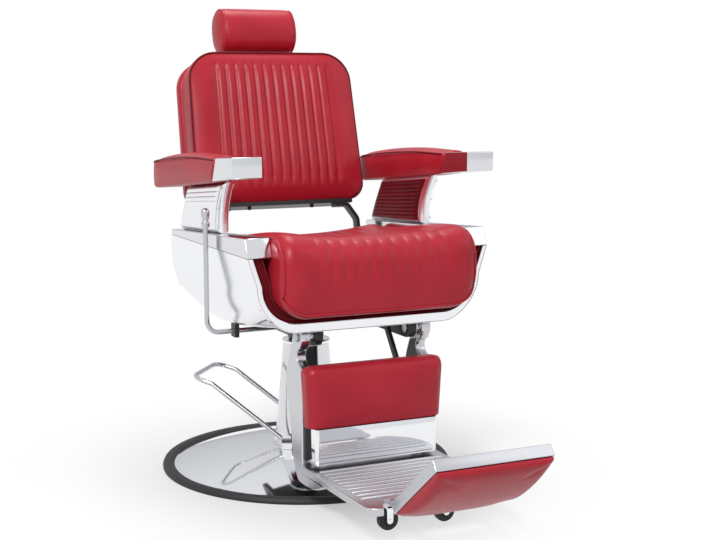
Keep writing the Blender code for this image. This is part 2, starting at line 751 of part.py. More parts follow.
def tub_grid(side_inset, bottom_inset, front, rear_setback, belly=True, lip=0.0, rows=9):
    """Rows from the front to the stern, on straight lines from the front section to the rear one. The first
    two rows hang down by the lip."""
    ends = []
    for share in (0.0, 1.0):
        half = tub_section(side_inset, bottom_inset, share)
        ends.append(np.concatenate([half, (half * (-1, 1))[-2::-1]]))
    rear = tub_rear(tub_section(0, 0)[:, 1])
    rear = np.concatenate([rear, rear[-2::-1]]) - rear_setback
    lip_end = TUB_LIP_THICKNESS + CLEARANCE
    run = np.linspace(0, 1, rows)[:, None]
    along = np.concatenate([np.zeros((1, len(rear))), np.full((1, len(rear)), TUB_LIP_THICKNESS),
                            lip_end + run * (rear - front - lip_end)]) + front
    share = ((along - TUB_FRONT) / (TUB_REAR - TUB_FRONT))[..., None]
    across_height = ends[0] + share * (ends[1] - ends[0])
    across = across_height[..., 0]
    height = across_height[..., 1].copy()
    height[:2] -= lip * np.clip((TUB_HALF_WIDTH - TUB_LEAN - np.abs(across[:2])) / 0.05, 0, 1)
    if belly:
        half = (len(rear) + 1) // 2
        hang = tub_belly(along[:, :half])
        height -= np.concatenate([hang, hang[:, -2::-1]], axis=1)
    return np.stack([across, along, height], axis=-1)


def make_tub():
    inner = tub_grid(TUB_SIDE_WALL, TUB_BOTTOM_WALL, TUB_FRONT, 0)
    tub = walled("seat_tub", tub_grid(0, 0, TUB_FRONT, 0, lip=TUB_LIP_DROP), inner)
    side = TUB_SIDE_WALL + 4 * CLEARANCE
    bottom = TUB_BOTTOM_WALL + 2 * CLEARANCE
    front = TUB_FRONT + LINER_SETBACK
    liner_side = side + LINER_SIDE_WALL
    liner_floor = bottom + LINER_BOTTOM_WALL
    liner = walled("seat_liner", tub_grid(side, bottom, front, LINER_REAR_SETBACK, False),
                   tub_grid(liner_side, liner_floor, front, LINER_REAR_SETBACK, False))
    for piece, surface in ((tub, CHROME), (liner, DARK_RED)):
        low = (-TUB_OPENING_HALF_WIDTH, TUB_FRONT + TUB_FRONT_STRIP, -TUB_DEPTH)
        high = (TUB_OPENING_HALF_WIDTH, TUB_REAR + 0.1, TUB_CORNER / 2)
        opening = block(piece.name + " opening", low, high)
        combine(piece, opening, "DIFFERENCE", SEAT)
        attach(piece, surface, seat_body, SEAT)


# Rails and arms
rail_base = TUB_DEPTH + CLEARANCE
rail_front = TUB_FRONT + RAIL_RAKE
rail_rear = TUB_REAR - 0.004


def rail_top(y):
    """Upper edge of the side rail, which falls towards the rear."""
    share = (y - rail_front) / (rail_rear - rail_front)
    return rail_base + RAIL_FRONT_HEIGHT + share * (RAIL_REAR_HEIGHT - RAIL_FRONT_HEIGHT)


def pad_base(y):
    """Underside of the arm pad, which falls towards the rear."""
    return ARM_PAD_BASE - ARM_PAD_SLOPE * (y - ARM_PAD_FRONT)


def panel_edges(height_share, inset):
    """Front and rear edge of the arm panel at a share of its height: hollow in front, slanted behind."""
    front = ARM_PANEL_FOOT_FRONT + (ARM_PANEL_TOP_FRONT - ARM_PANEL_FOOT_FRONT) * height_share ** 2.2
    front += ARM_PANEL_WAIST * np.sin(np.pi * height_share)
    rear = ARM_PANEL_FOOT_REAR + (ARM_PANEL_TOP_REAR - ARM_PANEL_FOOT_REAR) * height_share ** 1.25
    return front + inset, rear - inset


def panel_height(y, height_share):
    low = rail_top(y) + CLEARANCE
    return low + height_share * (pad_base(y) - CLEARANCE - low)


def make_insert(name, sign, face, towards, surface):
    """Plate with level ribs, set on one face of an arm panel."""
    levels = np.linspace(0.1, 0.93, INSERT_RIB_COUNT * 4 + 1)
    root = face + towards * CLEARANCE
    rings = []
    for index, share in enumerate(levels):
        front, rear = panel_edges(share, INSERT_BORDER)
        proud = INSERT_THICKNESS + INSERT_RIB * (0, 0.72, 1, 0.72)[index % 4]
        outer = root + towards * proud
        corners = ((root, front), (root, rear), (outer, rear), (outer, front))
        rings.append([(sign * x, y, panel_height(y, share)) for x, y in corners])
    attach(lofted(name, rings), surface, seat_body, SEAT)


def make_arm(side, sign):
    rail_outline = [(TUB_FRONT, rail_base), (TUB_REAR - 0.001, rail_base), (rail_rear, rail_top(rail_rear)),
                    (rail_front, rail_top(rail_front))]
    ends = sorted((sign * RAIL_INSIDE, sign * TUB_HALF_WIDTH))
    rail = flat(side + "_side_rail", rail_outline, ends[0], ends[1], ALONG_X)
    soften(rail, 0.0015)
    attach(rail, CHROME, seat_body, SEAT)

    shares = np.linspace(0, 1, 9)
    front = [(panel_edges(s, 0)[0], s) for s in shares]
    rear = [(panel_edges(s, 0)[1], s) for s in shares[::-1]]
    outline = [(float(y), float(panel_height(y, s))) for y, s in front + rear]
    panel_outside = ARM_PANEL_INSIDE + ARM_PANEL_THICKNESS
    ends = sorted((sign * ARM_PANEL_INSIDE, sign * panel_outside))
    panel = flat(side + "_arm_panel", outline, ends[0], ends[1], ALONG_X)
    soften(panel, 0.002)
    attach(panel, CHROME, seat_body, SEAT)
    make_insert(side + "_outer_insert", sign, panel_outside, 1, CHROME)
    make_insert(side + "_inner_insert", sign, ARM_PANEL_INSIDE, -1, DARK_RED)

    middle = ARM_INSIDE + ARM_WIDTH / 2
    length = ARM_PAD_REAR - ARM_PAD_FRONT
    turns = np.linspace(0, math.tau, 18, endpoint=False)
    rings = []
    for share in (0, 0.02, 0.12, 0.28, 0.45, 0.62, 0.76, 0.86, 0.925, 0.965, 0.99, 1.0):
        y = ARM_PAD_FRONT + length * share
        base = pad_base(y)
        top = ARM_PAD_CREST - ARM_PAD_REAR_DROP * max(0, (share - 0.2) / 0.8) ** 1.6
        close = math.sqrt(max(0.02, 1 - max(0, (share - 0.86) / 0.14) ** 2.2))
        width = ARM_WIDTH / 2 * (0.965 + 0.035 * math.cos(math.pi * (2 * share - 1))) * close
        rise = (top - base) / 2
        centre = base + rise * (1 + 0.25 * (1 - close))
        tall = rise * (0.35 + 0.65 * close)
        ring = []
        for turn in turns:
            c = math.cos(turn)
            s = math.sin(turn)
            sharp = 0.18
            across = width * math.copysign(abs(c) ** (0.5 if s > 0 else sharp), c)
            up = tall * math.copysign(abs(s) ** (0.62 if s > 0 else 0.3), s)
            rake = ARM_JOINT_RAKE * (up / rise) * max(0, 1 - share * 5)
            ring.append((sign * (middle + across), y - rake, centre + up))
        rings.append(ring)
    attach(lofted(side + "_arm_pad", rings), RED, seat_body, SEAT)

    joint = ARM_PAD_FRONT - 2 * CLEARANCE
    rise = (ARM_PAD_CREST - ARM_PAD_BASE) / 2
    top_rear = ARM_PAD_CREST - 0.004
    top_rake = ARM_JOINT_RAKE * (1 - 0.004 / rise)
    outline = [(ARM_CAP_FRONT, ARM_CAP_FRONT_LOW), (joint + ARM_JOINT_RAKE, ARM_PAD_BASE),
               (joint - top_rake, top_rear), (ARM_CAP_FRONT, ARM_CAP_FRONT_HIGH)]
    ends = sorted((sign * ARM_INSIDE, sign * (ARM_INSIDE + ARM_WIDTH)))
    cap = flat(side + "_arm_cap", outline, ends[0], ends[1], ALONG_X)
    soften(cap, 0.0015)
    attach(cap, CHROME, seat_body, SEAT)


# Seat cushion
def make_seat_cushion():
    """Side outlines set across the seat: level channels over the top and front, plain below and behind."""
    side_inset = TUB_SIDE_WALL + LINER_SIDE_WALL + 6 * CLEARANCE
    floor_line = tub_section(side_inset, TUB_BOTTOM_WALL + LINER_BOTTOM_WALL + 4 * CLEARANCE)[::-1]
    turn_in = TUB_HALF_WIDTH - TUB_LEAN - side_inset
    plain = [SEAT_HALF_WIDTH - inset for inset in (0.052, 0.034, 0.024, 0.014, 0.007, 0.0025, 0.0)]
    across = channel_stations(SEAT_CHANNELS, SEAT_CHANNEL_PITCH, sorted(plain + [turn_in]))
    rings = []
    for x in across:
        floor_height = float(np.interp(abs(x), floor_line[:, 0], floor_line[:, 1]))
        drop = float(edge_drop(x, SEAT_HALF_WIDTH, SEAT_EDGE_ROUND))
        dip = float(channel_dip(x, SEAT_CHANNELS, SEAT_CHANNEL_PITCH, SEAT_CHANNEL_DEPTH))
        crest = SEAT_FRONT_TOP + SEAT_SIDE_RISE * (x / SEAT_HALF_WIDTH) ** 2 - drop
        rear_top = SEAT_REAR_TOP - drop * 0.8
        face = SEAT_FRONT + drop * 0.7
        bend = min(SEAT_FRONT_ROUND, 0.55 * (crest - floor_height))
        rear_face = SEAT_REAR - drop * 0.5
        rear_turn = min(0.020, 0.35 * (rear_top - floor_height))
        ring = [(rear_face, rear_top - rear_turn), (rear_face - 0.006, rear_top - rear_turn / 4 - dip * 0.3)]
        for share in (0.06, 0.3, 0.55, 0.8):
            y = rear_face + (face + bend - rear_face) * share
            height = rear_top + (crest - rear_top) * (0.5 - 0.5 * math.cos(math.pi * share)) - 0.004 * math.sin(
                math.pi * share)
            ring.append((y, height - dip))
        for y, z in arc((face + bend, crest - bend), bend, 90, 180, 4):
            fade = 0.35 + 0.65 * (z - crest + bend) / bend
            ring.append((y, z - dip * fade * 0.8))
        turn = min(0.022, 0.3 * (crest - floor_height))
        ring.append((face + 0.003, (crest - bend + floor_height + turn) / 2))
        ring += [(face + 0.006, floor_height + turn), (face + 0.014, floor_height + turn / 3)]
        ring += [(face + 0.030, floor_height), (-0.10, floor_height), (rear_face - 0.010, floor_height)]
        ring.append((rear_face, floor_height + rear_turn / 2))
        rings.append([(x, y, z) for y, z in ring])
    attach(lofted("seat_cushion", rings), RED, seat_body, SEAT)


# Seat base under the tub
def make_seat_base():
    pivot = (LEG_PIVOT_Y, -LEG_PIVOT_DROP)
    low = -LEG_PIVOT_DROP - BASE_RAIL_HALF_HEIGHT
    high = -LEG_PIVOT_DROP + BASE_RAIL_HALF_HEIGHT
    lug = (back_pivot.y, back_pivot.z)
    front = lug[0] - BACK_LUG_HALF_WIDTH
    rear = lug[0] + BACK_LUG_HALF_WIDTH
    outline = arc(pivot, BASE_RAIL_HALF_HEIGHT, 90, 270, 8) + arc((rear - 0.02, low + 0.02), 0.02, -90, 0, 3)
    outline += arc(lug, BACK_LUG_HALF_WIDTH, 0, 180, 8) + [(front, high + 0.012), (front - 0.012, high)]
    outside = BASE_RAIL_INSIDE + BASE_RAIL_THICKNESS
    base = flat("seat_base", outline, BASE_RAIL_INSIDE, outside, ALONG_X)
    other = flat("other rail", outline, -outside, -BASE_RAIL_INSIDE, ALONG_X)
    combine(base, other, "UNION", SEAT)
    plate_reach = BASE_RAIL_INSIDE + BASE_RAIL_THICKNESS / 2
    plate = block("middle plate", (-plate_reach, -BASE_PLATE_HALF_LENGTH, -BASE_PLATE_DROP),
                  (plate_reach, BASE_PLATE_HALF_LENGTH * 0.7, -BASE_PLATE_DROP + BASE_PLATE_THICKNESS))
    combine(base, plate, "UNION", SEAT)
    for side, sign in SIDES:
        ends = sorted((sign * (outside - 0.002), sign * BASE_WING_OUTSIDE))
        wing_low = -CLEARANCE - BASE_WING_THICKNESS
        wing = block(side + " wing", (ends[0], -0.25, wing_low), (ends[1], 0.03, -CLEARANCE))
        combine(base, wing, "UNION", SEAT)
    width = 3 * outside
    drill(base, LEG_PIN_RADIUS + CLEARANCE, (0, *pivot), width, SEAT)
    drill(base, BACK_PIVOT_RADIUS + CLEARANCE, (0, *lug), width, SEAT)
    attach(base, BLACK, seat_body, SEAT)

    end = BRACKET_SIDE + BRACKET_BAR / 2 + CLEARANCE
    cap = BACK_PIVOT_RADIUS + 0.003
    half = [(0, end + 0.003), (cap, end + 0.003), (cap, end), (BACK_PIVOT_RADIUS, end)]
    tube = turned("back_pivot_tube", half + [(r, -z) for r, z in half[::-1]], 24, axis="X")
    tube.data.transform(Matrix.Translation((0, *lug)))
    attach(tube, STEEL, seat_body, SEAT)

    head = LEG_PIN_RADIUS + 0.004
    collar = LEG_PIN_RADIUS + 0.006
    inner_face = BASE_RAIL_INSIDE - CLEARANCE
    outer_face = LEG_INSIDE + LEG_THICKNESS + CLEARANCE
    for side, sign in SIDES:
        profile = [(0, outer_face + 0.004), (head, outer_face + 0.004), (head, outer_face),
                   (LEG_PIN_RADIUS, outer_face), (LEG_PIN_RADIUS, LEG_INSIDE - CLEARANCE),
                   (collar, LEG_INSIDE - CLEARANCE), (collar, outside + CLEARANCE),
                   (LEG_PIN_RADIUS, outside + CLEARANCE), (LEG_PIN_RADIUS, inner_face), (head, inner_face),
                   (head, inner_face - 0.004), (0, inner_face - 0.004)]
        pin = turned(side + "_leg_pin", [(r, sign * x) for r, x in profile], 20, axis="X")
        pin.data.transform(Matrix.Translation((0, *pivot)))
        attach(pin, STEEL, seat_body, SEAT)


# Recline lever and its bush
def make_lever():
    x = -(TUB_HALF_WIDTH + LEVER_OFFSET + LEVER_ROD)
    axis = lever_axis
    bend = arc((x + LEVER_BEND, axis + LEVER_BEND), LEVER_BEND, 180, 270, 6)
    path = [(x, LEVER_Y, LEVER_TOP)] + [(a, LEVER_Y, b) for a, b in bend] + [(x + LEVER_REACH, LEVER_Y, axis)]
    attach(rod("recline_rod", path, LEVER_ROD), CHROME, lever_body, SEAT)

    base = LEVER_TOP + CLEARANCE
    r = KNOB_RADIUS
    top = base + KNOB_HEIGHT
    profile = [(0, top), (r * 0.55, top - 0.001), (r * 0.9, top - 0.005), (r, top - 0.012),
               (r * 0.85, base + KNOB_HEIGHT * 0.45),
               (r * 0.72, base + KNOB_HEIGHT * 0.3), (r, base + KNOB_HEIGHT * 0.22), (r, base), (0, base)]
    knob = turned("recline_knob", profile, 20)
    knob.data.transform(Matrix.Translation((x, LEVER_Y, 0)))
    attach(knob, CHROME, lever_body, SEAT)

    under = tub_section(0, 0, (LEVER_Y - TUB_FRONT) / (TUB_REAR - TUB_FRONT))
    under = (under - np.stack([np.zeros(len(under)), tub_belly(LEVER_Y)], axis=-1))[::-1]
    edges = np.linspace(BUSH_X + BUSH_THICKNESS / 2, BUSH_X - BUSH_THICKNESS / 2, 4)
    seat_line = [(-float(e), float(np.interp(e, under[:, 0], under[:, 1])) - 4 * CLEARANCE) for e in edges]
    low = axis - LEVER_ROD - 0.008
    outline = [(seat_line[-1][0], low), (seat_line[0][0], low)] + seat_line
    bush = flat("lever_bush", outline, -LEVER_Y - 0.013, -LEVER_Y + 0.013, ALONG_Y)
    drill(bush, LEVER_ROD + CLEARANCE, (-BUSH_X, LEVER_Y, axis), BUSH_THICKNESS * 4, SEAT)
    attach(bush, BLACK, seat_body, SEAT)


# Backrest, drawn in its own plane
back_local = Vector((0, -BACK_PIVOT_BELOW, -BACK_PIVOT_BEHIND))
back_pivot = SEAT.inverted() @ BACK @ back_local
sleeve_front = -BACK_PAD_THICKNESS - 2 * CLEARANCE
sleeve_rear = sleeve_front - 3 * SLEEVE_PLATE - HEADREST_BAR_THICKNESS
sleeve_inside = HEADREST_BAR_HALF_WIDTH + CLEARANCE
sleeve_outside = sleeve_inside + SLEEVE_PLATE
bar_middle = sleeve_rear + SLEEVE_PLATE + 2 * CLEARANCE + HEADREST_BAR_THICKNESS / 2


def back_half_width(v):
    """Half width of the back at a height along it: a little narrower at the top."""
    return BACK_HALF_WIDTH - BACK_TAPER * v / BACK_LENGTH


def make_back():
    plain = [BACK_HALF_WIDTH - inset for inset in (0.064, 0.045, 0.030, 0.018, 0.009, 0.003, 0.0)]
    across = channel_stations(BACK_CHANNELS, BACK_CHANNEL_PITCH, plain)
    rings = []
    for x in across:
        dip = float(channel_dip(x, BACK_CHANNELS, BACK_CHANNEL_PITCH, BACK_CHANNEL_DEPTH))
        crown = BACK_CROWN * (1 - (abs(x) / BACK_HALF_WIDTH) ** 4)
        low = float(edge_drop(x, BACK_HALF_WIDTH, BACK_FOOT_CORNER))
        high = BACK_LENGTH - float(edge_drop(x, BACK_HALF_WIDTH, BACK_TOP_CORNER))
        ring = [(low + 0.004, -BACK_PAD_THICKNESS), (low, -BACK_PAD_THICKNESS + 0.008), (low, -0.010),
                (low + 0.005, 0.35 * crown - 0.002)]
        for share in (0.06, 0.13, 0.3, 0.5, 0.7, 0.87, 0.94):
            v = low + (high - low) * share
            swell = 1 - abs(2 * share - 1) ** 4 * 0.6
            fade = 1 if BACK_CHANNEL_MARGIN < v < BACK_LENGTH - BACK_CHANNEL_MARGIN else 0.15
            ring.append((v, crown * swell - dip * fade))
        ring += [(high - 0.005, 0.35 * crown - 0.002), (high, -0.010), (high, -BACK_PAD_THICKNESS + 0.008),
                 (high - 0.004, -BACK_PAD_THICKNESS)]
        rings.append([(x * back_half_width(v) / BACK_HALF_WIDTH, v, n) for v, n in ring])
    cushion = lofted("back_cushion", rings)
    attach(cushion, RED, back_body, BACK)

    rear = -BACK_PAD_THICKNESS - CLEARANCE
    high = BACK_LENGTH - 0.004
    wide_foot = BACK_HALF_WIDTH + BACK_BOARD_OVERHANG
    wide_top = back_half_width(BACK_LENGTH) + BACK_BOARD_OVERHANG
    outline = rounded([(-wide_foot, 0.003, BACK_FOOT_CORNER), (wide_foot, 0.003, BACK_FOOT_CORNER),
                       (wide_top, high, BACK_TOP_CORNER), (-wide_top, high, BACK_TOP_CORNER)], 6)
    board = flat("back_board", outline, rear - BACK_BOARD_THICKNESS, rear, ALONG_Z)
    soften(board, 0.010, 2)
    slot_low = BACK_LENGTH - HEADREST_BAR_LENGTH + HEADREST_POCKET - 0.012
    slot = block("headrest slot", (-sleeve_outside - CLEARANCE, slot_low - CLEARANCE, sleeve_rear - CLEARANCE),
                 (sleeve_outside + CLEARANCE, BACK_LENGTH + 0.01, -BACK_PAD_THICKNESS + 0.01))
    combine(board, slot, "DIFFERENCE", BACK)
    attach(board, RED, back_body, BACK)

    bar_top = -2 * CLEARANCE
    bar = block("back_base_bar", (-BACK_BAR_HALF_WIDTH, bar_top - BACK_BAR_THICKNESS, rear),
                (BACK_BAR_HALF_WIDTH, bar_top, -0.004), 0.001)
    attach(bar, BLACK, back_body, BACK)

    foot = bar_top - BACK_BAR_THICKNESS - CLEARANCE - BRACKET_BAR / 2
    tail = -BACK_PIVOT_BELOW - 0.016
    for side, sign in SIDES:
        path = [(sign * BRACKET_FOOT_INSIDE, foot), (sign * (BRACKET_SIDE - 0.024), foot),
                (sign * BRACKET_SIDE, -BRACKET_KINK), (sign * BRACKET_SIDE, tail)]
        edge = -BACK_PIVOT_BEHIND - BRACKET_WIDTH / 2
        band = strip(path, BRACKET_BAR / 2)
        bracket = flat(side + "_back_bracket", band, edge, edge + BRACKET_WIDTH, ALONG_Z)
        eye = (sign * BRACKET_SIDE, *back_local[1:])
        drill(bracket, BACK_PIVOT_RADIUS + CLEARANCE, eye, BRACKET_BAR * 3, BACK)
        attach(bracket, BLACK, back_body, BACK)

    guide_top = BACK_LENGTH - 0.012
    guide = block("headrest_sleeve", (-sleeve_outside, slot_low, sleeve_rear),
                  (sleeve_outside, guide_top, sleeve_front))
    bore_front = bar_middle + HEADREST_BAR_THICKNESS / 2 + CLEARANCE
    bore_rear = bar_middle - HEADREST_BAR_THICKNESS / 2 - CLEARANCE
    bore = block("sleeve bore", (-sleeve_inside, slot_low - 0.01, bore_rear),
                 (sleeve_inside, guide_top + 0.01, bore_front))
    combine(guide, bore, "DIFFERENCE", BACK)
    attach(guide, STEEL, back_body, BACK)


# Headrest on its flat bar
def make_headrest():
    low = BACK_LENGTH + HEADREST_GAP
    middle = low + HEADREST_HEIGHT / 2
    centre = -HEADREST_BEHIND
    turns = np.linspace(0, math.tau, 22, endpoint=False)
    rings = []
    for share in (-1, -0.97, -0.92, -0.84, -0.72, -0.3, 0.3, 0.72, 0.84, 0.92, 0.97, 1):
        close = math.sqrt(max(0.0, 1 - max(0, (abs(share) - 0.72) / 0.28) ** 2))
        size = 0.66 + 0.34 * close
        swell = 1 + 0.02 * math.cos(math.pi * share / 2)
        ring = []
        for turn in turns:
            c = math.cos(turn)
            s = math.sin(turn)
            up = HEADREST_HEIGHT / 2 * size * math.copysign(abs(s) ** 0.72, s)
            out = HEADREST_DEPTH / 2 * size * swell * math.copysign(abs(c) ** 0.72, c)
            ring.append((share * HEADREST_HALF_LENGTH, middle + up, centre + out))
        rings.append(ring)
    bolster = lofted("headrest_cushion", rings)
    pocket_top = low + HEADREST_POCKET
    half = HEADREST_BAR_THICKNESS / 2 + CLEARANCE
    pocket = block("headrest pocket", (-HEADREST_BAR_HALF_WIDTH - CLEARANCE, low - 0.02, bar_middle - half),
                   (HEADREST_BAR_HALF_WIDTH + CLEARANCE, pocket_top, bar_middle + half))
    combine(bolster, pocket, "DIFFERENCE", BACK)
    attach(bolster, RED, headrest_body, BACK)

    half = HEADREST_BAR_THICKNESS / 2
    bar_top = pocket_top - CLEARANCE
    bar = block("headrest_bar", (-HEADREST_BAR_HALF_WIDTH, bar_top - HEADREST_BAR_LENGTH, bar_middle - half),
                (HEADREST_BAR_HALF_WIDTH, bar_top, bar_middle + half), 0.001)
    attach(bar, CHROME, headrest_body, BACK)


# Legrest
calf_rear = LEG_FRONT - 2 * CLEARANCE - CALF_BOARD_THICKNESS
link_foot = Vector((LINK_X, LINK_FOOT_Y, LINK_FOOT_HEIGHT))


def make_legs():
    """Cast legs: a rounded head on the pivot, a hollowed neck, a broad web and a toe under the step."""
    pivot = (LEG_PIVOT_Y, -LEG_PIVOT_DROP)
    toe_top = STEP_TOP - STEP_THICKNESS - CLEARANCE
    sole = -LEG_FOOT_DROP
    head = arc(pivot, 0.023, 20, 200, 8)
    neck_front = arc((LEG_FRONT + 0.012, pivot[1] - 0.043), 0.017, 80, -60, 6)
    front = [(LEG_FRONT, CALF_TOP - 0.012), (LEG_FRONT, toe_top)]
    toe = [(LEG_FRONT - 0.105, toe_top), (LEG_FRONT - 0.112, toe_top - 0.005),
           (LEG_FRONT - 0.085, toe_top - 0.018), (LEG_FRONT - 0.045, sole + 0.001), (LEG_FRONT + 0.005, sole),
           (LEG_FRONT + 0.030, sole + 0.008)]
    rear = [(LEG_FRONT + 0.051, sole + 0.047), (LEG_FRONT + 0.065, sole + 0.110),
            (LEG_FRONT + 0.081, sole + 0.174), (LEG_FRONT + 0.087, sole + 0.217),
            (LEG_FRONT + 0.080, sole + 0.252), (LEG_FRONT + 0.064, sole + 0.288)]
    outline = head + neck_front + front + toe + rear
    outside = LEG_INSIDE + LEG_THICKNESS
    for side, sign in SIDES:
        ends = sorted((sign * LEG_INSIDE, sign * outside))
        leg = flat(side + "_leg", outline, ends[0], ends[1], ALONG_X)
        eye = (sign * (LEG_INSIDE + outside) / 2, *pivot)
        drill(leg, LEG_PIN_RADIUS + CLEARANCE, eye, LEG_THICKNESS * 3, SEAT)
        attach(leg, ALUMINIUM, leg_body, SEAT)

    end = LEG_INSIDE - CLEARANCE
    middle = (LEG_FRONT + 0.022, CROSS_TUBE_HEIGHT)
    tube = rod("cross_tube", [(-end, *middle), (end, *middle)], CROSS_TUBE_RADIUS)
    attach(tube, STEEL, leg_body, SEAT)


def make_calf():
    board_rear = LEG_FRONT - CLEARANCE
    board = block("calf_board", (-CALF_BOARD_HALF_WIDTH, calf_rear + CLEARANCE, KICK_BOTTOM + 0.002),
                  (CALF_BOARD_HALF_WIDTH, board_rear, CALF_TOP - 0.006), 0.001)
    lug_x = LINK_X - LINK_THICKNESS / 2 - CLEARANCE
    lug = block("link lug", (lug_x - 0.006, link_foot.y - 0.016, link_foot.z - 0.013),
                (lug_x, link_foot.y + 0.012, link_foot.z + 0.013))
    combine(board, lug, "UNION", SEAT)
    pin = rod("link pin", [(lug_x - 0.003, link_foot.y, link_foot.z),
                           (LINK_X + LINK_THICKNESS / 2 + 0.002, link_foot.y, link_foot.z)], AXLE_RADIUS)
    combine(board, pin, "UNION", SEAT)
    attach(board, BLACK, leg_body, SEAT)

    height = CALF_TOP - CALF_BOTTOM
    rings = []
    for share in (-1, -0.985, -0.95, -0.88, -0.7, -0.35, 0, 0.35, 0.7, 0.88, 0.95, 0.985, 1):
        close = math.sqrt(max(0.0, 1 - max(0, (abs(share) - 0.86) / 0.14) ** 2))
        front = calf_rear - CALF_THICKNESS + (1 - close) * 0.016
        crown = CALF_CROWN * (1 - share ** 4)
        top = CALF_TOP - (1 - close) * 0.012
        ring = [(calf_rear, CALF_BOTTOM), (front + 0.008, CALF_BOTTOM), (front + 0.002, CALF_BOTTOM + 0.004)]
        for f in (0.12, 0.35, 0.6, 0.8):
            ring.append((front - crown * math.sin(math.pi * f) ** 0.7, CALF_BOTTOM + height * f))
        ring += [(front + 0.004, top - 0.012), (front + 0.012, top - 0.003), (front + 0.022, top)]
        ring.append((calf_rear, top - 0.003))
        taper = CALF_TAPER / height
        rings.append([(share * (CALF_HALF_WIDTH - taper * (CALF_TOP - z)), y, z) for y, z in ring])
    attach(lofted("calf_pad", rings), RED, leg_body, SEAT)

    top = CALF_BOTTOM - 2 * CLEARANCE
    front = calf_rear - KICK_DEPTH
    side = KICK_HALF_WIDTH - KICK_SHEET / 2
    bend = arc((side - 0.008, front + 0.008 + KICK_SHEET / 2), 0.008, 0, -90, 4)
    half = [(side, calf_rear - CLEARANCE)] + bend
    path = half + [(-x, y) for x, y in half[::-1]]
    kick = flat("kick_plate", strip(path, KICK_SHEET / 2), KICK_BOTTOM, top, ALONG_Z)
    attach(kick, CHROME, leg_body, SEAT)


def make_step():
    """Cast step: ears beside the notch for the tray, ribs across its top, arms out to the tray's hinge."""
    under = STEP_TOP - STEP_THICKNESS
    notch = STEP_NOTCH_HALF_WIDTH + 0.004
    half = [(STEP_HALF_WIDTH, STEP_REAR, 0.004), (STEP_HALF_WIDTH, STEP_FRONT, STEP_CORNER * 0.9),
            (notch, STEP_FRONT, 0.003), (notch - 0.020, STEP_NOTCH_FRONT, 0.010)]
    outline = rounded(half + [(-x, y, r) for x, y, r in half[::-1]])
    step = flat("step_plate", outline, under, STEP_TOP, ALONG_Z)
    for index in range(STEP_RIBS):
        y = STEP_RIB_FIRST - STEP_RIB_PITCH * index
        root = STEP_TOP - 0.001
        tip = STEP_TOP + STEP_RIB_HEIGHT
        ridge = [(y - 0.005, root), (y + 0.005, root), (y + 0.003, tip), (y - 0.003, tip)]
        rib = flat("rib %d" % index, ridge, -STEP_RIB_HALF_LENGTH, STEP_RIB_HALF_LENGTH, ALONG_X)
        combine(step, rib, "UNION", SEAT)
    eye = (FLIP_HINGE_Y, FLIP_HINGE_HEIGHT)
    arm = [(STEP_NOTCH_FRONT + 0.008, under + 0.002), (STEP_NOTCH_FRONT + 0.008, STEP_TOP - 0.0004),
           (eye[0] + 0.006, STEP_TOP - 0.0004)]
    arm += arc(eye, HINGE_EYE, -30, 230, 9) + [(eye[0] + 0.004, under + 0.002)]
    for side, sign in SIDES:
        half = HINGE_ARM_WIDTH / 2
        ends = sorted((sign * (HINGE_ARM_X - half), sign * (HINGE_ARM_X + half)))
        combine(step, flat(side + " hinge arm", arm, ends[0], ends[1], ALONG_X), "UNION", SEAT)
    drill(step, HINGE_PIN + CLEARANCE, (0, *eye), 3 * FLIP_HALF_WIDTH, SEAT)
    attach(step, ALUMINIUM, leg_body, SEAT)

    pin_end = HINGE_ARM_X + HINGE_ARM_WIDTH / 2 + HINGE_KNUCKLE_WIDTH + 0.004
    attach(rod("flip_hinge_pin", [(-pin_end, *eye), (pin_end, *eye)], HINGE_PIN), STEEL, leg_body, SEAT)


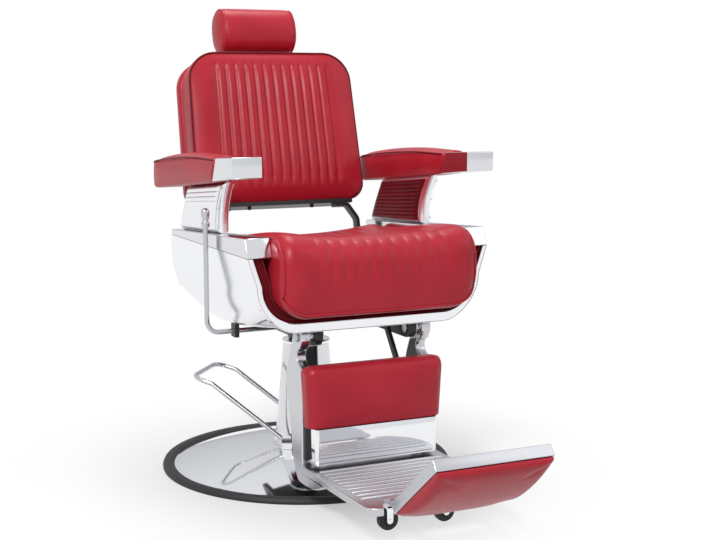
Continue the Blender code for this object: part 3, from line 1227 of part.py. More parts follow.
# Flip footrest, drawn in its own plane
def make_flip():
    tray_front = FLIP_BACK + FLIP_TRAY_DEPTH
    tray = block("flip_tray", (-FLIP_HALF_WIDTH, FLIP_START, FLIP_BACK),
                 (FLIP_HALF_WIDTH, FLIP_LENGTH, tray_front))
    wall = FLIP_TRAY_WALL
    pan = block("tray pan", (wall - FLIP_HALF_WIDTH, FLIP_START + wall, FLIP_BACK + wall),
                (FLIP_HALF_WIDTH - wall, FLIP_LENGTH - wall, tray_front + wall))
    combine(tray, pan, "DIFFERENCE", FLIP)
    for side, sign in SIDES:
        inner = HINGE_ARM_X + HINGE_ARM_WIDTH / 2 + CLEARANCE
        ends = sorted((sign * inner, sign * (inner + HINGE_KNUCKLE_WIDTH)))
        outline = arc((0, 0), HINGE_EYE, 90, 270, 8)
        outline += [(FLIP_START + 0.002, -0.0015), (FLIP_START + 0.002, HINGE_EYE)]
        knuckle = flat(side + " knuckle", outline, ends[0], ends[1], ALONG_X)
        combine(tray, knuckle, "UNION", FLIP)
    drill(tray, HINGE_PIN + CLEARANCE, (0, 0, 0), 3 * FLIP_HALF_WIDTH, FLIP)
    attach(tray, CHROME, flip_body, FLIP)

    back = tray_front + CLEARANCE
    length = FLIP_LENGTH - FLIP_START - 2 * FLIP_PAD_BORDER
    low = FLIP_START + FLIP_PAD_BORDER
    rings = []
    for share in (-1, -0.985, -0.95, -0.88, -0.7, -0.35, 0, 0.35, 0.7, 0.88, 0.95, 0.985, 1):
        close = math.sqrt(max(0.0, 1 - max(0, (abs(share) - 0.86) / 0.14) ** 2))
        face = back + FLIP_PAD_THICKNESS * (0.35 + 0.65 * close)
        crown = FLIP_PAD_CROWN * (0.6 + 0.4 * close) * (1 - 0.1 * share ** 2)
        edge = back + (face - back) * 0.45
        brow = back + (face - back) * 0.85
        ring = [(low, back), (low, edge), (low + 0.003, brow)]
        for f in (0.06, 0.2, 0.4, 0.6, 0.8, 0.94):
            ring.append((low + length * f, face + crown * math.sin(math.pi * f) ** 0.6))
        ring += [(low + length - 0.003, brow), (low + length, edge), (low + length, back)]
        rings.append([(share * (FLIP_HALF_WIDTH - FLIP_PAD_BORDER), u, m) for u, m in ring])
    attach(lofted("flip_pad", rings), RED, flip_body, FLIP)


# Wheels and forks
def make_wheels():
    under = STEP_TOP - STEP_THICKNESS - CLEARANCE
    axle = -WHEEL_DROP
    crown = axle + WHEEL_RADIUS + 0.004
    cheek = WHEEL_WIDTH / 2 + 0.002
    bore = AXLE_RADIUS + CLEARANCE
    rim = WHEEL_RADIUS
    half = WHEEL_WIDTH / 2
    tyre = [(bore, half - 0.002), (rim * 0.55, half - 0.003), (rim * 0.7, half), (rim - 0.003, half),
            (rim, half - 0.003)]
    section = tyre + [(r, -z) for r, z in tyre[::-1]]
    for side, sign in SIDES:
        centre = Vector((sign * WHEEL_X, WHEEL_Y, axle))
        wheel = turned(side + "_wheel", section, 28, closed=True, axis="Y")
        wheel.data.transform(Matrix.Translation(centre))
        attach(wheel, RUBBER, wheel_bodies[side], SEAT)

        fork = block(side + "_wheel_fork", (centre.x - 0.009, WHEEL_Y - cheek - FORK_SHEET, crown),
                     (centre.x + 0.009, WHEEL_Y + cheek + FORK_SHEET, under))
        plate = [(centre.x + 0.008, crown + 0.002), (centre.x - 0.008, crown + 0.002)] + arc(
            (centre.x, axle), 0.007, 180, 360, 6)
        for k, start in enumerate((-WHEEL_Y - cheek - FORK_SHEET, -WHEEL_Y + cheek)):
            cheek_plate = flat("%s cheek %d" % (side, k), plate, start, start + FORK_SHEET, ALONG_Y)
            combine(fork, cheek_plate, "UNION", SEAT)
        reach = Vector((0, cheek + FORK_SHEET / 2, 0))
        combine(fork, rod(side + " axle", [centre - reach, centre + reach], AXLE_RADIUS), "UNION", SEAT)
        attach(fork, CHROME, leg_body, SEAT)


# Link to the legrest
def make_link():
    direction = Vector((math.cos(LINK_ANGLE), math.sin(LINK_ANGLE)))
    side = math.degrees(LINK_ANGLE)
    foot = (link_foot.y, link_foot.z)
    top = (foot[0] + direction.x * LINK_LENGTH, foot[1] + direction.y * LINK_LENGTH)
    outline = arc(foot, LINK_WIDTH / 2, side + 90, side + 270, 8)
    outline += arc(top, LINK_WIDTH / 2, side - 90, side + 90, 8)
    link = flat("leg_link", outline, LINK_X - LINK_THICKNESS / 2, LINK_X + LINK_THICKNESS / 2, ALONG_X)
    drill(link, AXLE_RADIUS + CLEARANCE, (LINK_X, *foot), LINK_THICKNESS * 3, SEAT)
    drill(link, AXLE_RADIUS + CLEARANCE, (LINK_X, *top), LINK_THICKNESS * 3, SEAT)
    attach(link, BLACK, link_body, SEAT)


make_base()
make_pump()
make_pedal()
make_tub()
for arm_side, arm_sign in SIDES:
    make_arm(arm_side, arm_sign)
make_seat_cushion()
make_seat_base()
make_lever()
make_back()
make_headrest()
make_legs()
make_calf()
make_step()
make_flip()
make_wheels()
make_link()
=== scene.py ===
# Looks of the reclining barber chair: covers, chrome, castings, rubber, studio and camera.
# Lengths are metres, +Z is up, the sitter faces -Y and +X is the sitter's left.

import json
import math

import bmesh
import bpy
import numpy as np
from mathutils import Matrix, Vector


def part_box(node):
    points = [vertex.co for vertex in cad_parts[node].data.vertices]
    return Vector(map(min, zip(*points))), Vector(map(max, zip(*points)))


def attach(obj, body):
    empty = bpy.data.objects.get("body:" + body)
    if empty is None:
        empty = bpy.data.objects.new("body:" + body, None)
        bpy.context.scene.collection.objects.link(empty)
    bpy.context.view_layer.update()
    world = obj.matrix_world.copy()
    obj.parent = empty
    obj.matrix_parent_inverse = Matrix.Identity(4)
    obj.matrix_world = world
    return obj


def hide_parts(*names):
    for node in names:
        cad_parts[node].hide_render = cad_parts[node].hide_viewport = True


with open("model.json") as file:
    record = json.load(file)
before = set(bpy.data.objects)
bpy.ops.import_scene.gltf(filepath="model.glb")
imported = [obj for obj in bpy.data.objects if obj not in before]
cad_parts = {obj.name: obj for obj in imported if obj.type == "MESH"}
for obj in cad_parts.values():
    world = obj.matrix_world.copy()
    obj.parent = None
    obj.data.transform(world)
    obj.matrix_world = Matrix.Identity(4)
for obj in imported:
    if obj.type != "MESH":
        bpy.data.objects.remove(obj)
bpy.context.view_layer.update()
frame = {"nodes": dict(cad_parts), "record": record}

MM = 0.001

# Camera that sees the chair as the photograph does
PHOTO_WIDTH = 716
FOCAL_PIXELS = 1336.6
CAMERA_PLACE = (-1.2573, -2.9375, 0.9213)
CAMERA_AZIMUTH = math.radians(-25.44)
CAMERA_PITCH = math.radians(7.975)
SENSOR = 36.0

# Planes in which the back and the flip footrest are drawn
SEAT_BASE = 0.406
BACK_FOOT_Y = 0.1359
BACK_FOOT_Z = SEAT_BASE + 0.2258
BACK_TILT = math.radians(13.5)
FLIP_HINGE_Y = -0.702
FLIP_HINGE_Z = SEAT_BASE - 0.298
FLIP_TILT = math.radians(38)

SIDES = (("left", 1), ("right", -1))

# Studio light; each lamp has a name, a place, the length of its side and its power in watts
WORLD_LIGHT = 0.38
LAMPS = (
    ("key", (-2.4, -2.6, 3.0), 0.9, 92),
    ("fill", (2.8, -2.2, 2.6), 2.6, 14),
    ("top", (0.2, 0.6, 3.6), 1.4, 46),
)
LAMP_AIM = (0, -0.1, 0.6)
SHADOW_NEAR = 0.36
SHADOW_FAR = 0.82
SHADOW_LIFT = 0.40
BRIGHT_SIDE = (-0.55, -0.45, 0.70)
MIRRORED_ROOM = ((0.0, "4A4B50"), (0.13, "85868B"), (0.25, "C8C9CD"), (0.5, "E4E5E8"), (0.75, "F8F8FA"),
                 (1.0, "FFFFFF"))

# Plates: the least divisor of a mitre, and where a flat face starts, as a share of the edge's radius
MITRE_LEAST = 0.35
FACE_INSET = 1.15

# Softened end of a bar: how far each ring lies past the end, and its size, as shares of the radius
BAR_END = ((0.25, 0.96), (0.3, 0.8), (0.3, 0.0))


def on_back(across, up, out):
    """Point of the backrest: across, up along the tilted back, and out of its front."""
    y = BACK_FOOT_Y + up * math.sin(BACK_TILT) - out * math.cos(BACK_TILT)
    z = BACK_FOOT_Z + up * math.cos(BACK_TILT) + out * math.sin(BACK_TILT)
    return np.stack(np.broadcast_arrays(across, y, z), -1)


def on_flip(across, up, out):
    """Point of the flip footrest: across, up along the tray from its hinge, and out of the padded face."""
    y = FLIP_HINGE_Y - up * math.cos(FLIP_TILT) - out * math.sin(FLIP_TILT)
    z = FLIP_HINGE_Z + up * math.sin(FLIP_TILT) - out * math.cos(FLIP_TILT)
    return np.stack(np.broadcast_arrays(across, y, z), -1)


# Shapes as arrays of points with lists of faces
def grid_faces(rows, columns, close_rows=False, close_columns=False):
    """Corner numbers of every quad of a grid, which may close on itself either way."""
    row, column = np.meshgrid(np.arange(rows if close_rows else rows - 1),
                              np.arange(columns if close_columns else columns - 1), indexing="ij")
    next_row = (row + 1) % rows
    next_column = (column + 1) % columns
    corners = (row * columns + column, row * columns + next_column,
               next_row * columns + next_column, next_row * columns + column)
    return np.stack(corners, -1).reshape(-1, 4).tolist()


def sleeve(rings, filled=False):
    """Skin over a row of closed rings of points; a filled sleeve has one flat face at each end."""
    rows, count = rings.shape[:2]
    faces = grid_faces(rows, count, False, True)
    if filled:
        last = (rows - 1) * count
        faces += [list(range(count))[::-1], list(range(last, last + count))]
    return rings.reshape(-1, 3), faces


def ring_of(rows, runs):
    """Rings in two coordinates: each run of values is spread over all rows, then the runs are joined."""
    full = [np.broadcast_arrays(np.zeros((rows, 1)), *run)[1:] for run in runs]
    return [np.concatenate(values, 1) for values in zip(*full)]


def quarter(steps):
    """Angles in even steps from nothing to a right angle."""
    return np.linspace(0, math.pi / 2, steps)


def eased(share):
    """Share from 0 to 1 that starts and ends level: three times its square less twice its cube."""
    return share * share * (3 - 2 * share)


def mirrored(half):
    """A half outline whose last point lies in the middle plane, followed by its mirror image."""
    return np.concatenate([half, (half * (-1, 1))[-2::-1]])


def strip(path, half):
    """Outline of a bent strip: its middle line moved half a thickness along its normals to either side."""
    along = np.gradient(path, axis=0)
    across = np.stack([-along[:, 1], along[:, 0]], -1) / np.hypot(*along.T)[:, None]
    return np.concatenate([path + half * across, (path - half * across)[::-1]])


def joined(*shapes):
    """Several shapes as one list of points and faces."""
    points = []
    faces = []
    start = 0
    for shape_points, shape_faces in shapes:
        points.append(shape_points)
        faces += [[corner + start for corner in face] for face in shape_faces]
        start += len(shape_points)
    return np.concatenate(points), faces


def fillet(corners, steps=6, closed=True):
    """Line through (a, b, radius) corners, each corner swapped for an arc that touches its two sides."""
    line = []
    count = len(corners)
    for index, (a, b, radius) in enumerate(corners):
        here = np.array((a, b))
        if radius == 0 or (not closed and index in (0, count - 1)):
            line.append(here[None])
            continue
        back = np.array(corners[index - 1][:2]) - here
        ahead = np.array(corners[(index + 1) % count][:2]) - here
        back = back / np.hypot(*back)
        ahead = ahead / np.hypot(*ahead)
        half = math.acos(np.clip(back @ ahead, -1, 1)) / 2
        middle = (back + ahead) / np.hypot(*(back + ahead))
        centre = here + middle * radius / math.sin(half)
        start = here + back * radius / math.tan(half) - centre
        end = here + ahead * radius / math.tan(half) - centre
        first = math.atan2(start[1], start[0])
        sweep = (math.atan2(end[1], end[0]) - first + math.pi) % math.tau - math.pi
        angle = first + sweep * np.linspace(0, 1, steps + 1)
        line.append(centre + radius * np.stack([np.cos(angle), np.sin(angle)], -1))
    return np.concatenate(line)


def arc(centre, radius, start, end, steps=16):
    """Points of an arc between two angles in degrees."""
    angle = np.radians(np.linspace(start, end, steps + 1))
    return np.asarray(centre) + radius * np.stack([np.cos(angle), np.sin(angle)], -1)


def spline(points, steps):
    """Smooth line through points, each span a cubic whose slopes are half the way between its neighbours."""
    points = np.asarray(points, float)
    longer = np.concatenate([2 * points[:1] - points[1:2], points, 2 * points[-1:] - points[-2:-1]])
    before, here, after, beyond = longer[:-3, None], longer[1:-2, None], longer[2:-1, None], longer[3:, None]
    share = np.linspace(0, 1, steps, endpoint=False)[None, :, None]
    bend = 2 * before - 5 * here + 4 * after - beyond + share * (3 * (here - after) + beyond - before)
    line = here + 0.5 * share * (after - before + share * bend)
    return np.concatenate([line.reshape(-1, points.shape[1]), points[-1:]])


def lathe(profile, steps=160, closed=False):
    """Profile of radius and height carried round the Z axis: (r cos t, r sin t, z)."""
    profile = np.asarray(profile, float)
    turn = np.linspace(0, math.tau, steps, endpoint=False)
    round_ring = np.stack([np.cos(turn), np.sin(turn), np.zeros(steps)], -1)
    points = profile[:, :1, None] * round_ring + profile[:, 1:, None] * np.array((0.0, 0.0, 1.0))
    return points.reshape(-1, 3), grid_faces(len(profile), steps, closed, True)


def slab(outline, low, high, edge, steps=5):
    """Plate on an outline with quarter-round edges: ring by ring the outline is drawn in along its normals by
    edge (1 - sin a) while the height goes by edge (1 - cos a), then both faces are filled."""
    outline = np.asarray(outline, float)
    after = np.roll(outline, -1, 0)
    if np.sum(outline[:, 0] * after[:, 1] - outline[:, 1] * after[:, 0]) < 0:
        outline = outline[::-1]
    ahead = np.roll(outline, -1, 0) - outline
    out = np.stack([ahead[:, 1], -ahead[:, 0]], -1) / np.hypot(*ahead.T)[:, None]
    before = np.roll(out, 1, 0)
    normal = (out + before) / np.maximum(MITRE_LEAST, 1 + np.sum(out * before, -1, keepdims=True))
    inset = edge * (1 - np.sin(quarter(steps)))
    rise = edge * (1 - np.cos(quarter(steps)))
    insets = np.concatenate([[edge * FACE_INSET], inset, inset[::-1], [edge * FACE_INSET]])
    levels = np.concatenate([[low], low + rise, high - rise[::-1], [high]])
    rings = outline[None] - insets[:, None, None] * normal[None]
    tall = np.broadcast_to(levels[:, None, None], rings.shape[:2] + (1,))
    return sleeve(np.concatenate([rings, tall], -1), True)


def tube(path, radius, sides=20, closed=False):
    """Round bar: a circle carried along a path, square to it; open paths end in a softened flat face."""
    path = np.asarray(path, float)
    if closed:
        along = np.roll(path, -1, 0) - np.roll(path, 1, 0)
    else:
        along = np.gradient(path, axis=0)
    along = along / np.linalg.norm(along, axis=1, keepdims=True)
    flat_way = np.linalg.svd(path - path.mean(0))[2][2]
    side = np.cross(along, flat_way)
    side = side / np.linalg.norm(side, axis=1, keepdims=True)
    up = np.cross(side, along)
    turn = np.linspace(0, math.tau, sides, endpoint=False)[None, :, None]
    circle = np.cos(turn) * side[:, None] + np.sin(turn) * up[:, None]
    rings = path[:, None] + radius * circle
    if closed:
        return rings.reshape(-1, 3), grid_faces(len(path), sides, True, True)
    ends = []
    for index, way in ((0, -1), (-1, 1)):
        ends.append([path[index] + way * along[index] * radius * push + radius * grow * circle[index]
                     for push, grow in BAR_END])
    return sleeve(np.concatenate([ends[0][::-1], rings, ends[1]]))


def across_x(shape):
    """Turn a shape drawn on (y, z) with its thickness along the third axis into the chair's axes."""
    points, faces = shape
    return points[:, [2, 0, 1]], faces


def across_y(shape):
    """Turn a shape drawn on (x, z) with its thickness along the third axis into the chair's axes."""
    points, faces = shape
    return points[:, [0, 2, 1]], faces


def moved(shape, shift):
    """A shape with every point shifted alike."""
    points, faces = shape
    return points + np.asarray(shift), faces


def laid(shape, plane):
    """A shape drawn as across, up and out, set in the plane of the back or of the footrest."""
    points, faces = shape
    return plane(*points.T), faces


def side_plate(sign, outline, inside, outside, edge, steps=5):
    """Plate on a (y, z) outline, on one side of the chair between two distances from its middle."""
    low, high = sorted((sign * inside, sign * outside))
    return across_x(slab(outline, low, high, edge, steps))


def heights(node):
    """Lowest and highest z of a CAD node."""
    low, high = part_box(node)
    return low[2], high[2]


def edge_of(node):
    """Largest x of a CAD node, which is the radius of one that is round about the pump."""
    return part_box(node)[1][0]


# Colours and finishes
def linear(hex_text):
    """sRGB hex to linear colour with alpha."""
    channel = np.array([int(hex_text[k:k + 2], 16) for k in (0, 2, 4)]) / 255
    channel = np.where(channel <= 0.04045, channel / 12.92, ((channel + 0.055) / 1.055) ** 2.4)
    return (*channel, 1.0)


def feed(tree, node, inputs):
    """Link each input that is given as a socket, and set any other value on its input."""
    for name, value in inputs.items():
        if isinstance(value, bpy.types.NodeSocket):
            tree.links.new(value, node.inputs[name])
        else:
            node.inputs[name].default_value = value


def add(tree, kind, inputs=None, stops=(), **settings):
    """One node with its settings, its inputs and, on a colour ramp, its (position, hex) stops."""
    made = tree.nodes.new(kind)
    for name, value in settings.items():
        setattr(made, name, value)
    feed(tree, made, inputs or {})
    if stops:
        band = made.color_ramp.elements
        while len(band) < len(stops):
            band.new(0.5)
        for element, (position, hex_text) in zip(band, stops):
            element.position = position
            element.color = linear(hex_text)
    return made


def start_finish(name):
    """New material with its tree, its shader and the piece's own coordinates."""
    surface = bpy.data.materials.new(name)
    surface.use_nodes = True
    tree = surface.node_tree
    shader = tree.nodes["Principled BSDF"]
    place = add(tree, "ShaderNodeTexCoord").outputs["Object"]
    return surface, tree, shader, place


def leatherette(name, dark, body, light, roughness, gloss):
    """Coated upholstery cloth, embossed and wiped: a soft gloss, a pebbled grain and a slightly uneven red.
    The real grain is near 1 mm; it is drawn at 2.6 mm so that it shows at the picture's scale."""
    surface, tree, shader, place = start_finish(name)
    cloud = add(tree, "ShaderNodeTexNoise", {"Vector": place, "Scale": 1 / (120 * MM), "Detail": 4.0,
                                             "Roughness": 0.55, "Distortion": 0.3})
    tone = add(tree, "ShaderNodeValToRGB", {"Fac": cloud.outputs["Fac"]},
               ((0.30, dark), (0.52, body), (0.75, light)))
    grain = add(tree, "ShaderNodeTexVoronoi", {"Vector": place, "Scale": 1 / (2.6 * MM), "Randomness": 1.0},
                feature="SMOOTH_F1")
    crease = add(tree, "ShaderNodeTexNoise", {"Vector": place, "Scale": 1 / (16 * MM), "Detail": 4.0,
                                              "Roughness": 0.55, "Distortion": 1.2}).outputs["Fac"]
    soft = add(tree, "ShaderNodeBump", {"Height": crease, "Strength": 0.05, "Distance": 2.0 * MM})
    fine = add(tree, "ShaderNodeBump", {"Height": grain.outputs["Distance"], "Strength": 0.025,
                                        "Distance": 0.5 * MM, "Normal": soft.outputs["Normal"]})
    sheen = add(tree, "ShaderNodeMapRange", {"Value": crease, "To Min": roughness - 0.06,
                                             "To Max": roughness + 0.08})
    feed(tree, shader, {"Base Color": tone.outputs["Color"], "Roughness": sheen.outputs["Result"],
                        "Normal": fine.outputs["Normal"], "IOR": 1.45, "Specular IOR Level": gloss})
    return surface


def chrome_plate(name, tint, roughness, smear):
    """Polished chrome on pressed steel: a mirror with a faint wipe haze and slow waves of the pressing."""
    surface, tree, shader, place = start_finish(name)
    haze = add(tree, "ShaderNodeTexNoise", {"Vector": place, "Scale": 1 / (45 * MM), "Detail": 4.0,
                                            "Roughness": 0.6})
    wave = add(tree, "ShaderNodeTexNoise", {"Vector": place, "Scale": 1 / (110 * MM), "Detail": 1.0})
    sheen = add(tree, "ShaderNodeMapRange", {"Value": haze.outputs["Fac"], "To Min": roughness,
                                             "To Max": roughness + smear})
    bump = add(tree, "ShaderNodeBump", {"Height": wave.outputs["Fac"], "Strength": 0.02,
                                        "Distance": 3.0 * MM})
    feed(tree, shader, {"Base Color": linear(tint), "Metallic": 1.0, "Roughness": sheen.outputs["Result"],
                        "Normal": bump.outputs["Normal"]})
    return surface


def cast_aluminium(name, tint, roughness):
    """Sand-cast aluminium, buffed bright: broad soft reflections over a faint pebble left by the mould."""
    surface, tree, shader, place = start_finish(name)
    pebble = add(tree, "ShaderNodeTexNoise", {"Vector": place, "Scale": 1 / (3 * MM), "Detail": 3.0})
    buff = add(tree, "ShaderNodeTexNoise", {"Vector": place, "Scale": 1 / (35 * MM), "Detail": 4.0})
    sheen = add(tree, "ShaderNodeMapRange", {"Value": buff.outputs["Fac"], "To Min": roughness - 0.06,
                                             "To Max": roughness + 0.1})
    bump = add(tree, "ShaderNodeBump", {"Height": pebble.outputs["Fac"], "Strength": 0.05,
                                        "Distance": 0.6 * MM})
    feed(tree, shader, {"Base Color": linear(tint), "Metallic": 1.0, "Roughness": sheen.outputs["Result"],
                        "Normal": bump.outputs["Normal"]})
    return surface


def plain_coat(name, low, high, roughness, metallic, grain_mm, strength):
    """Paint, rubber or ground steel: a dull tone broken by fine speckle, with a little tooth."""
    surface, tree, shader, place = start_finish(name)
    speckle = add(tree, "ShaderNodeTexNoise", {"Vector": place, "Scale": 1 / (grain_mm * MM), "Detail": 4.0,
                                               "Roughness": 0.6}).outputs["Fac"]
    tone = add(tree, "ShaderNodeValToRGB", {"Fac": speckle}, ((0.3, low), (0.7, high)))
    sheen = add(tree, "ShaderNodeMapRange", {"Value": speckle, "To Min": roughness - 0.08,
                                             "To Max": roughness + 0.08})
    bump = add(tree, "ShaderNodeBump", {"Height": speckle, "Strength": strength, "Distance": 0.4 * MM})
    feed(tree, shader, {"Base Color": tone.outputs["Color"], "Metallic": metallic,
                        "Roughness": sheen.outputs["Result"], "Normal": bump.outputs["Normal"]})
    return surface


RED_LEATHERETTE = leatherette("red coated upholstery cloth", "AA1D2D", "B42031", "BC2737", 0.36, 0.38)
# The dark red panel finish is the red cloth made much darker: painted shade for the liner, the inner arm
# inserts and the welts of the back and arm pads.
SHADED_PANEL_LEATHERETTE = leatherette("red panel cloth darkened as painted shade", "5C0C15", "6C121D", "761823", 0.40, 0.16)
CHROME = chrome_plate("polished chrome plate", "EFF0F2", 0.035, 0.05)
CHROME_SHEET = chrome_plate("buffed chrome plate on sheet", "EFF0F3", 0.11, 0.07)
# Bars and rods take darker tints than the other chrome plate: painted shade for the greyer reflections they
# show.
SHADED_CHROME_BAR = chrome_plate("buffed chrome plate on bars, darkened as painted shade", "DADBDE", 0.09, 0.06)
SHADED_CHROME_ROD = chrome_plate("buffed chrome plate on rods, darkened as painted shade", "C4C5C9", 0.22, 0.05)
CHROME_SATIN = chrome_plate("satin chrome plate on castings", "EFF0F3", 0.27, 0.06)
ALUMINIUM = cast_aluminium("buffed cast aluminium", "C9C9CD", 0.2)
BLACK_PAINT = plain_coat("satin black paint on steel", "121314", "1C1D1F", 0.42, 0.0, 2.5, 0.08)
RUBBER = plain_coat("moulded black rubber", "1D1D1E", "2A2A2B", 0.6, 0.0, 1.5, 0.15)
GROUND_STEEL = plain_coat("ground bright steel", "A9ABAE", "C8CACD", 0.26, 1.0, 4.0, 0.05)

SLOT_FINISH = {
    "red_leatherette": RED_LEATHERETTE,
    "dark_red_panel": SHADED_PANEL_LEATHERETTE,
    "chrome": CHROME,
    "polished_cast_aluminium": ALUMINIUM,
    "black_steel": BLACK_PAINT,
    "black_rubber": RUBBER,
    "ground_steel": GROUND_STEEL,
}


def finish_frame():
    """Give every CAD node the finish of its slot."""
    for entry in frame["record"]["subparts"]:
        item = frame["nodes"][entry["node"]]
        item.data.materials.clear()
        item.data.materials.append(SLOT_FINISH[entry["material_slot"]])


# Angle in degrees above which an edge is shown sharp, on hard pieces and on covers
HARD_CREASE = 34
SOFT_CREASE = 60


def piece(name, shape, body, slot, replaces=(), crease=HARD_CREASE, finish=None):
    """Object from a shape, welded and facing out, with its finish, its body and the nodes it stands for."""
    points, faces = shape
    work = bmesh.new()
    mesh = bpy.data.meshes.new(name)
    mesh.from_pydata(np.asarray(points).tolist(), [], faces)
    work.from_mesh(mesh)
    bmesh.ops.delete(work, geom=[point for point in work.verts if not point.link_faces], context="VERTS")
    bmesh.ops.remove_doubles(work, verts=work.verts, dist=1e-6)
    bmesh.ops.recalc_face_normals(work, faces=work.faces)
    work.to_mesh(mesh)
    work.free()
    mesh.shade_smooth()
    mesh.set_sharp_from_angle(angle=math.radians(crease))
    item = bpy.data.objects.new(name, mesh)
    bpy.context.scene.collection.objects.link(item)
    mesh.materials.append(finish or SLOT_FINISH[slot])
    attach(item, body)
    if replaces:
        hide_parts(*replaces)
    return item


# Cloth of a cover: it stretches little, bends easily and has some weight
CLOTH = {
    "vertex_group_mass": "sewn", "use_pressure": True, "quality": 4, "mass": 0.25,
    "tension_stiffness": 12, "compression_stiffness": 12, "shear_stiffness": 6, "bending_stiffness": 0.4,
}
SWELL_FRAMES = 20


def places(mesh):
    """Every point of a mesh, one row each."""
    flat = np.empty(len(mesh.vertices) * 3)
    mesh.vertices.foreach_get("co", flat)
    return flat.reshape(-1, 3)


def swell(item, held, pressure, most):
    """Let the cover swell like cloth over foam: air pressure pushes it out, sewn and backed points are held,
    and the foam lets a point go no further than the most: its way is most times tanh(way / most)."""
    scene = bpy.context.scene
    group = item.vertex_groups.new(name="sewn")
    group.add(np.flatnonzero(held).tolist(), 1.0, "REPLACE")
    cloth = item.modifiers.new("swell", "CLOTH")
    for name, value in CLOTH.items():
        setattr(cloth.settings, name, value)
    cloth.settings.uniform_pressure_force = pressure
    cloth.settings.effector_weights.gravity = 0
    cloth.collision_settings.use_collision = False
    cloth.collision_settings.use_self_collision = False
    cloth.point_cache.frame_start = 1
    cloth.point_cache.frame_end = SWELL_FRAMES
    for step in range(1, SWELL_FRAMES + 1):
        scene.frame_set(step)
    graph = bpy.context.evaluated_depsgraph_get()
    start = places(item.data)
    shift = places(item.evaluated_get(graph).data) - start
    far = np.linalg.norm(shift, axis=1, keepdims=True)
    shift *= most * np.tanh(far / most) / np.maximum(far, 1e-9)
    item.modifiers.remove(cloth)
    item.vertex_groups.remove(group)
    scene.frame_set(1)
    item.data.vertices.foreach_set("co", (start + shift).ravel())
    item.data.update()


def smooth_cover(item):
    """One subdivision, the same in the view and the render."""
    cover = item.modifiers.new("cover", "SUBSURF")
    cover.levels = 1
    cover.render_levels = 1
    return item


# Base and pump
DOME_SHEET = 1.5 * MM
DOME_HOLE = 0.078
DOME_FLANGE = 14.3 * MM
DOME_POWER = 1.72
RING_WIDTH = 28 * MM
CONE_SHEET = 2 * MM
COLLAR_BORE = 0.0325


def make_base():
    """Dome whose height is one minus a power of the way left to its hole, and a rubber ring round it."""
    plate_edge = edge_of("floor_plate")
    low, high = heights("base_cover")
    flange = low + DOME_SHEET
    rim = plate_edge - DOME_FLANGE
    share = np.linspace(0, 1, 40)
    climb = flange + (high - low - DOME_SHEET) * (1 - (1 - share) ** DOME_POWER)
    top = np.stack([rim + (DOME_HOLE - rim) * share, climb], -1)
    top = np.concatenate([[(plate_edge - FIT, flange)], top])
    under = top[::-1] - (0, DOME_SHEET)
    piece("base_dome", lathe(np.concatenate([top, under]), 192, True), "base", "chrome", ["base_cover"])

    edge = edge_of("edge_ring")
    top = heights("edge_ring")[1]
    inside = edge - RING_WIDTH
    lip = flange + FIT
    section = fillet(((plate_edge + FIT, 0, 0), (edge - 1 * MM, 0, 1 * MM), (edge, top * 0.4, 4 * MM),
                      (edge - 4 * MM, top, 4 * MM), (inside + 9 * MM, top, 6 * MM),
                      (inside, lip + 0.5 * MM, 0.3 * MM), (inside, lip, 0), (plate_edge + FIT, lip, 0)))
    piece("rubber_edge", lathe(section, 192, True), "base", "black_rubber", ["edge_ring"])


def make_pump():
    """Cone, collar, swivel block, swivel head and piston, each a profile turned about the pump's axis."""
    foot, top = heights("pump_sleeve")
    outer = spline(((0.0820, foot), (0.0775, foot + 0.011), (0.0742, foot + 0.026), (0.0722, foot + 0.050),
                    (0.0650, foot + 0.130), (0.0570, top - 0.016), (0.0555, top)), 10)
    inner = (outer - (CONE_SHEET, 0))[::-1]
    piece("pump_cone", lathe(np.concatenate([outer, inner]), 160, True), "base", "chrome", ["pump_sleeve"],
          finish=SHADED_CHROME_BAR)

    edge = edge_of("pump_collar")
    low, high = heights("pump_collar")
    ring = fillet(((COLLAR_BORE, low, 0), (edge, low, 0.5 * MM), (edge, high, 3 * MM),
                   (COLLAR_BORE + 4 * MM, high, 1 * MM), (COLLAR_BORE, high - 1.5 * MM, 0)))
    piece("pump_top_ring", lathe(ring, 128, True), "base", "chrome", ["pump_collar"])

    edge = edge_of("swivel_block")
    low, high = heights("swivel_block")
    neck = edge * 0.86
    block = fillet(((0, low, 0), (edge, low, 3 * MM), (edge, high - 14 * MM, 3 * MM),
                    (neck, high - 10 * MM, 2 * MM), (neck, high, 1 * MM), (0, high, 0)), closed=False)
    piece("swivel_turret", lathe(block, 96), "lift", "black_steel", ["swivel_block"])

    edge = edge_of("swivel_head")
    low, high = heights("swivel_head")
    hub = edge * 0.66
    head = fillet(((0, low, 0), (hub, low, 2 * MM), (hub, high - 8 * MM, 6 * MM),
                   (edge, high - 8 * MM, 1.5 * MM), (edge, high, 1.5 * MM), (0, high, 0)), closed=False)
    piece("swivel_flange", lathe(head, 96), "seat", "black_steel", ["swivel_head"])

    edge = edge_of("piston_rod")
    low, high = heights("piston_rod")
    rod = fillet(((0, low, 0), (edge, low, 1 * MM), (edge, high, 0.6 * MM), (0, high, 0)), closed=False)
    piece("lift_piston", lathe(rod, 96), "lift", "ground_steel", ["piston_rod"])


# Pedal of the pump: a loop of bent rod
PEDAL_HEADING = math.radians(140.3)
PEDAL_HALF_WIDTH = 0.086
PEDAL_ROD = 5.5 * MM


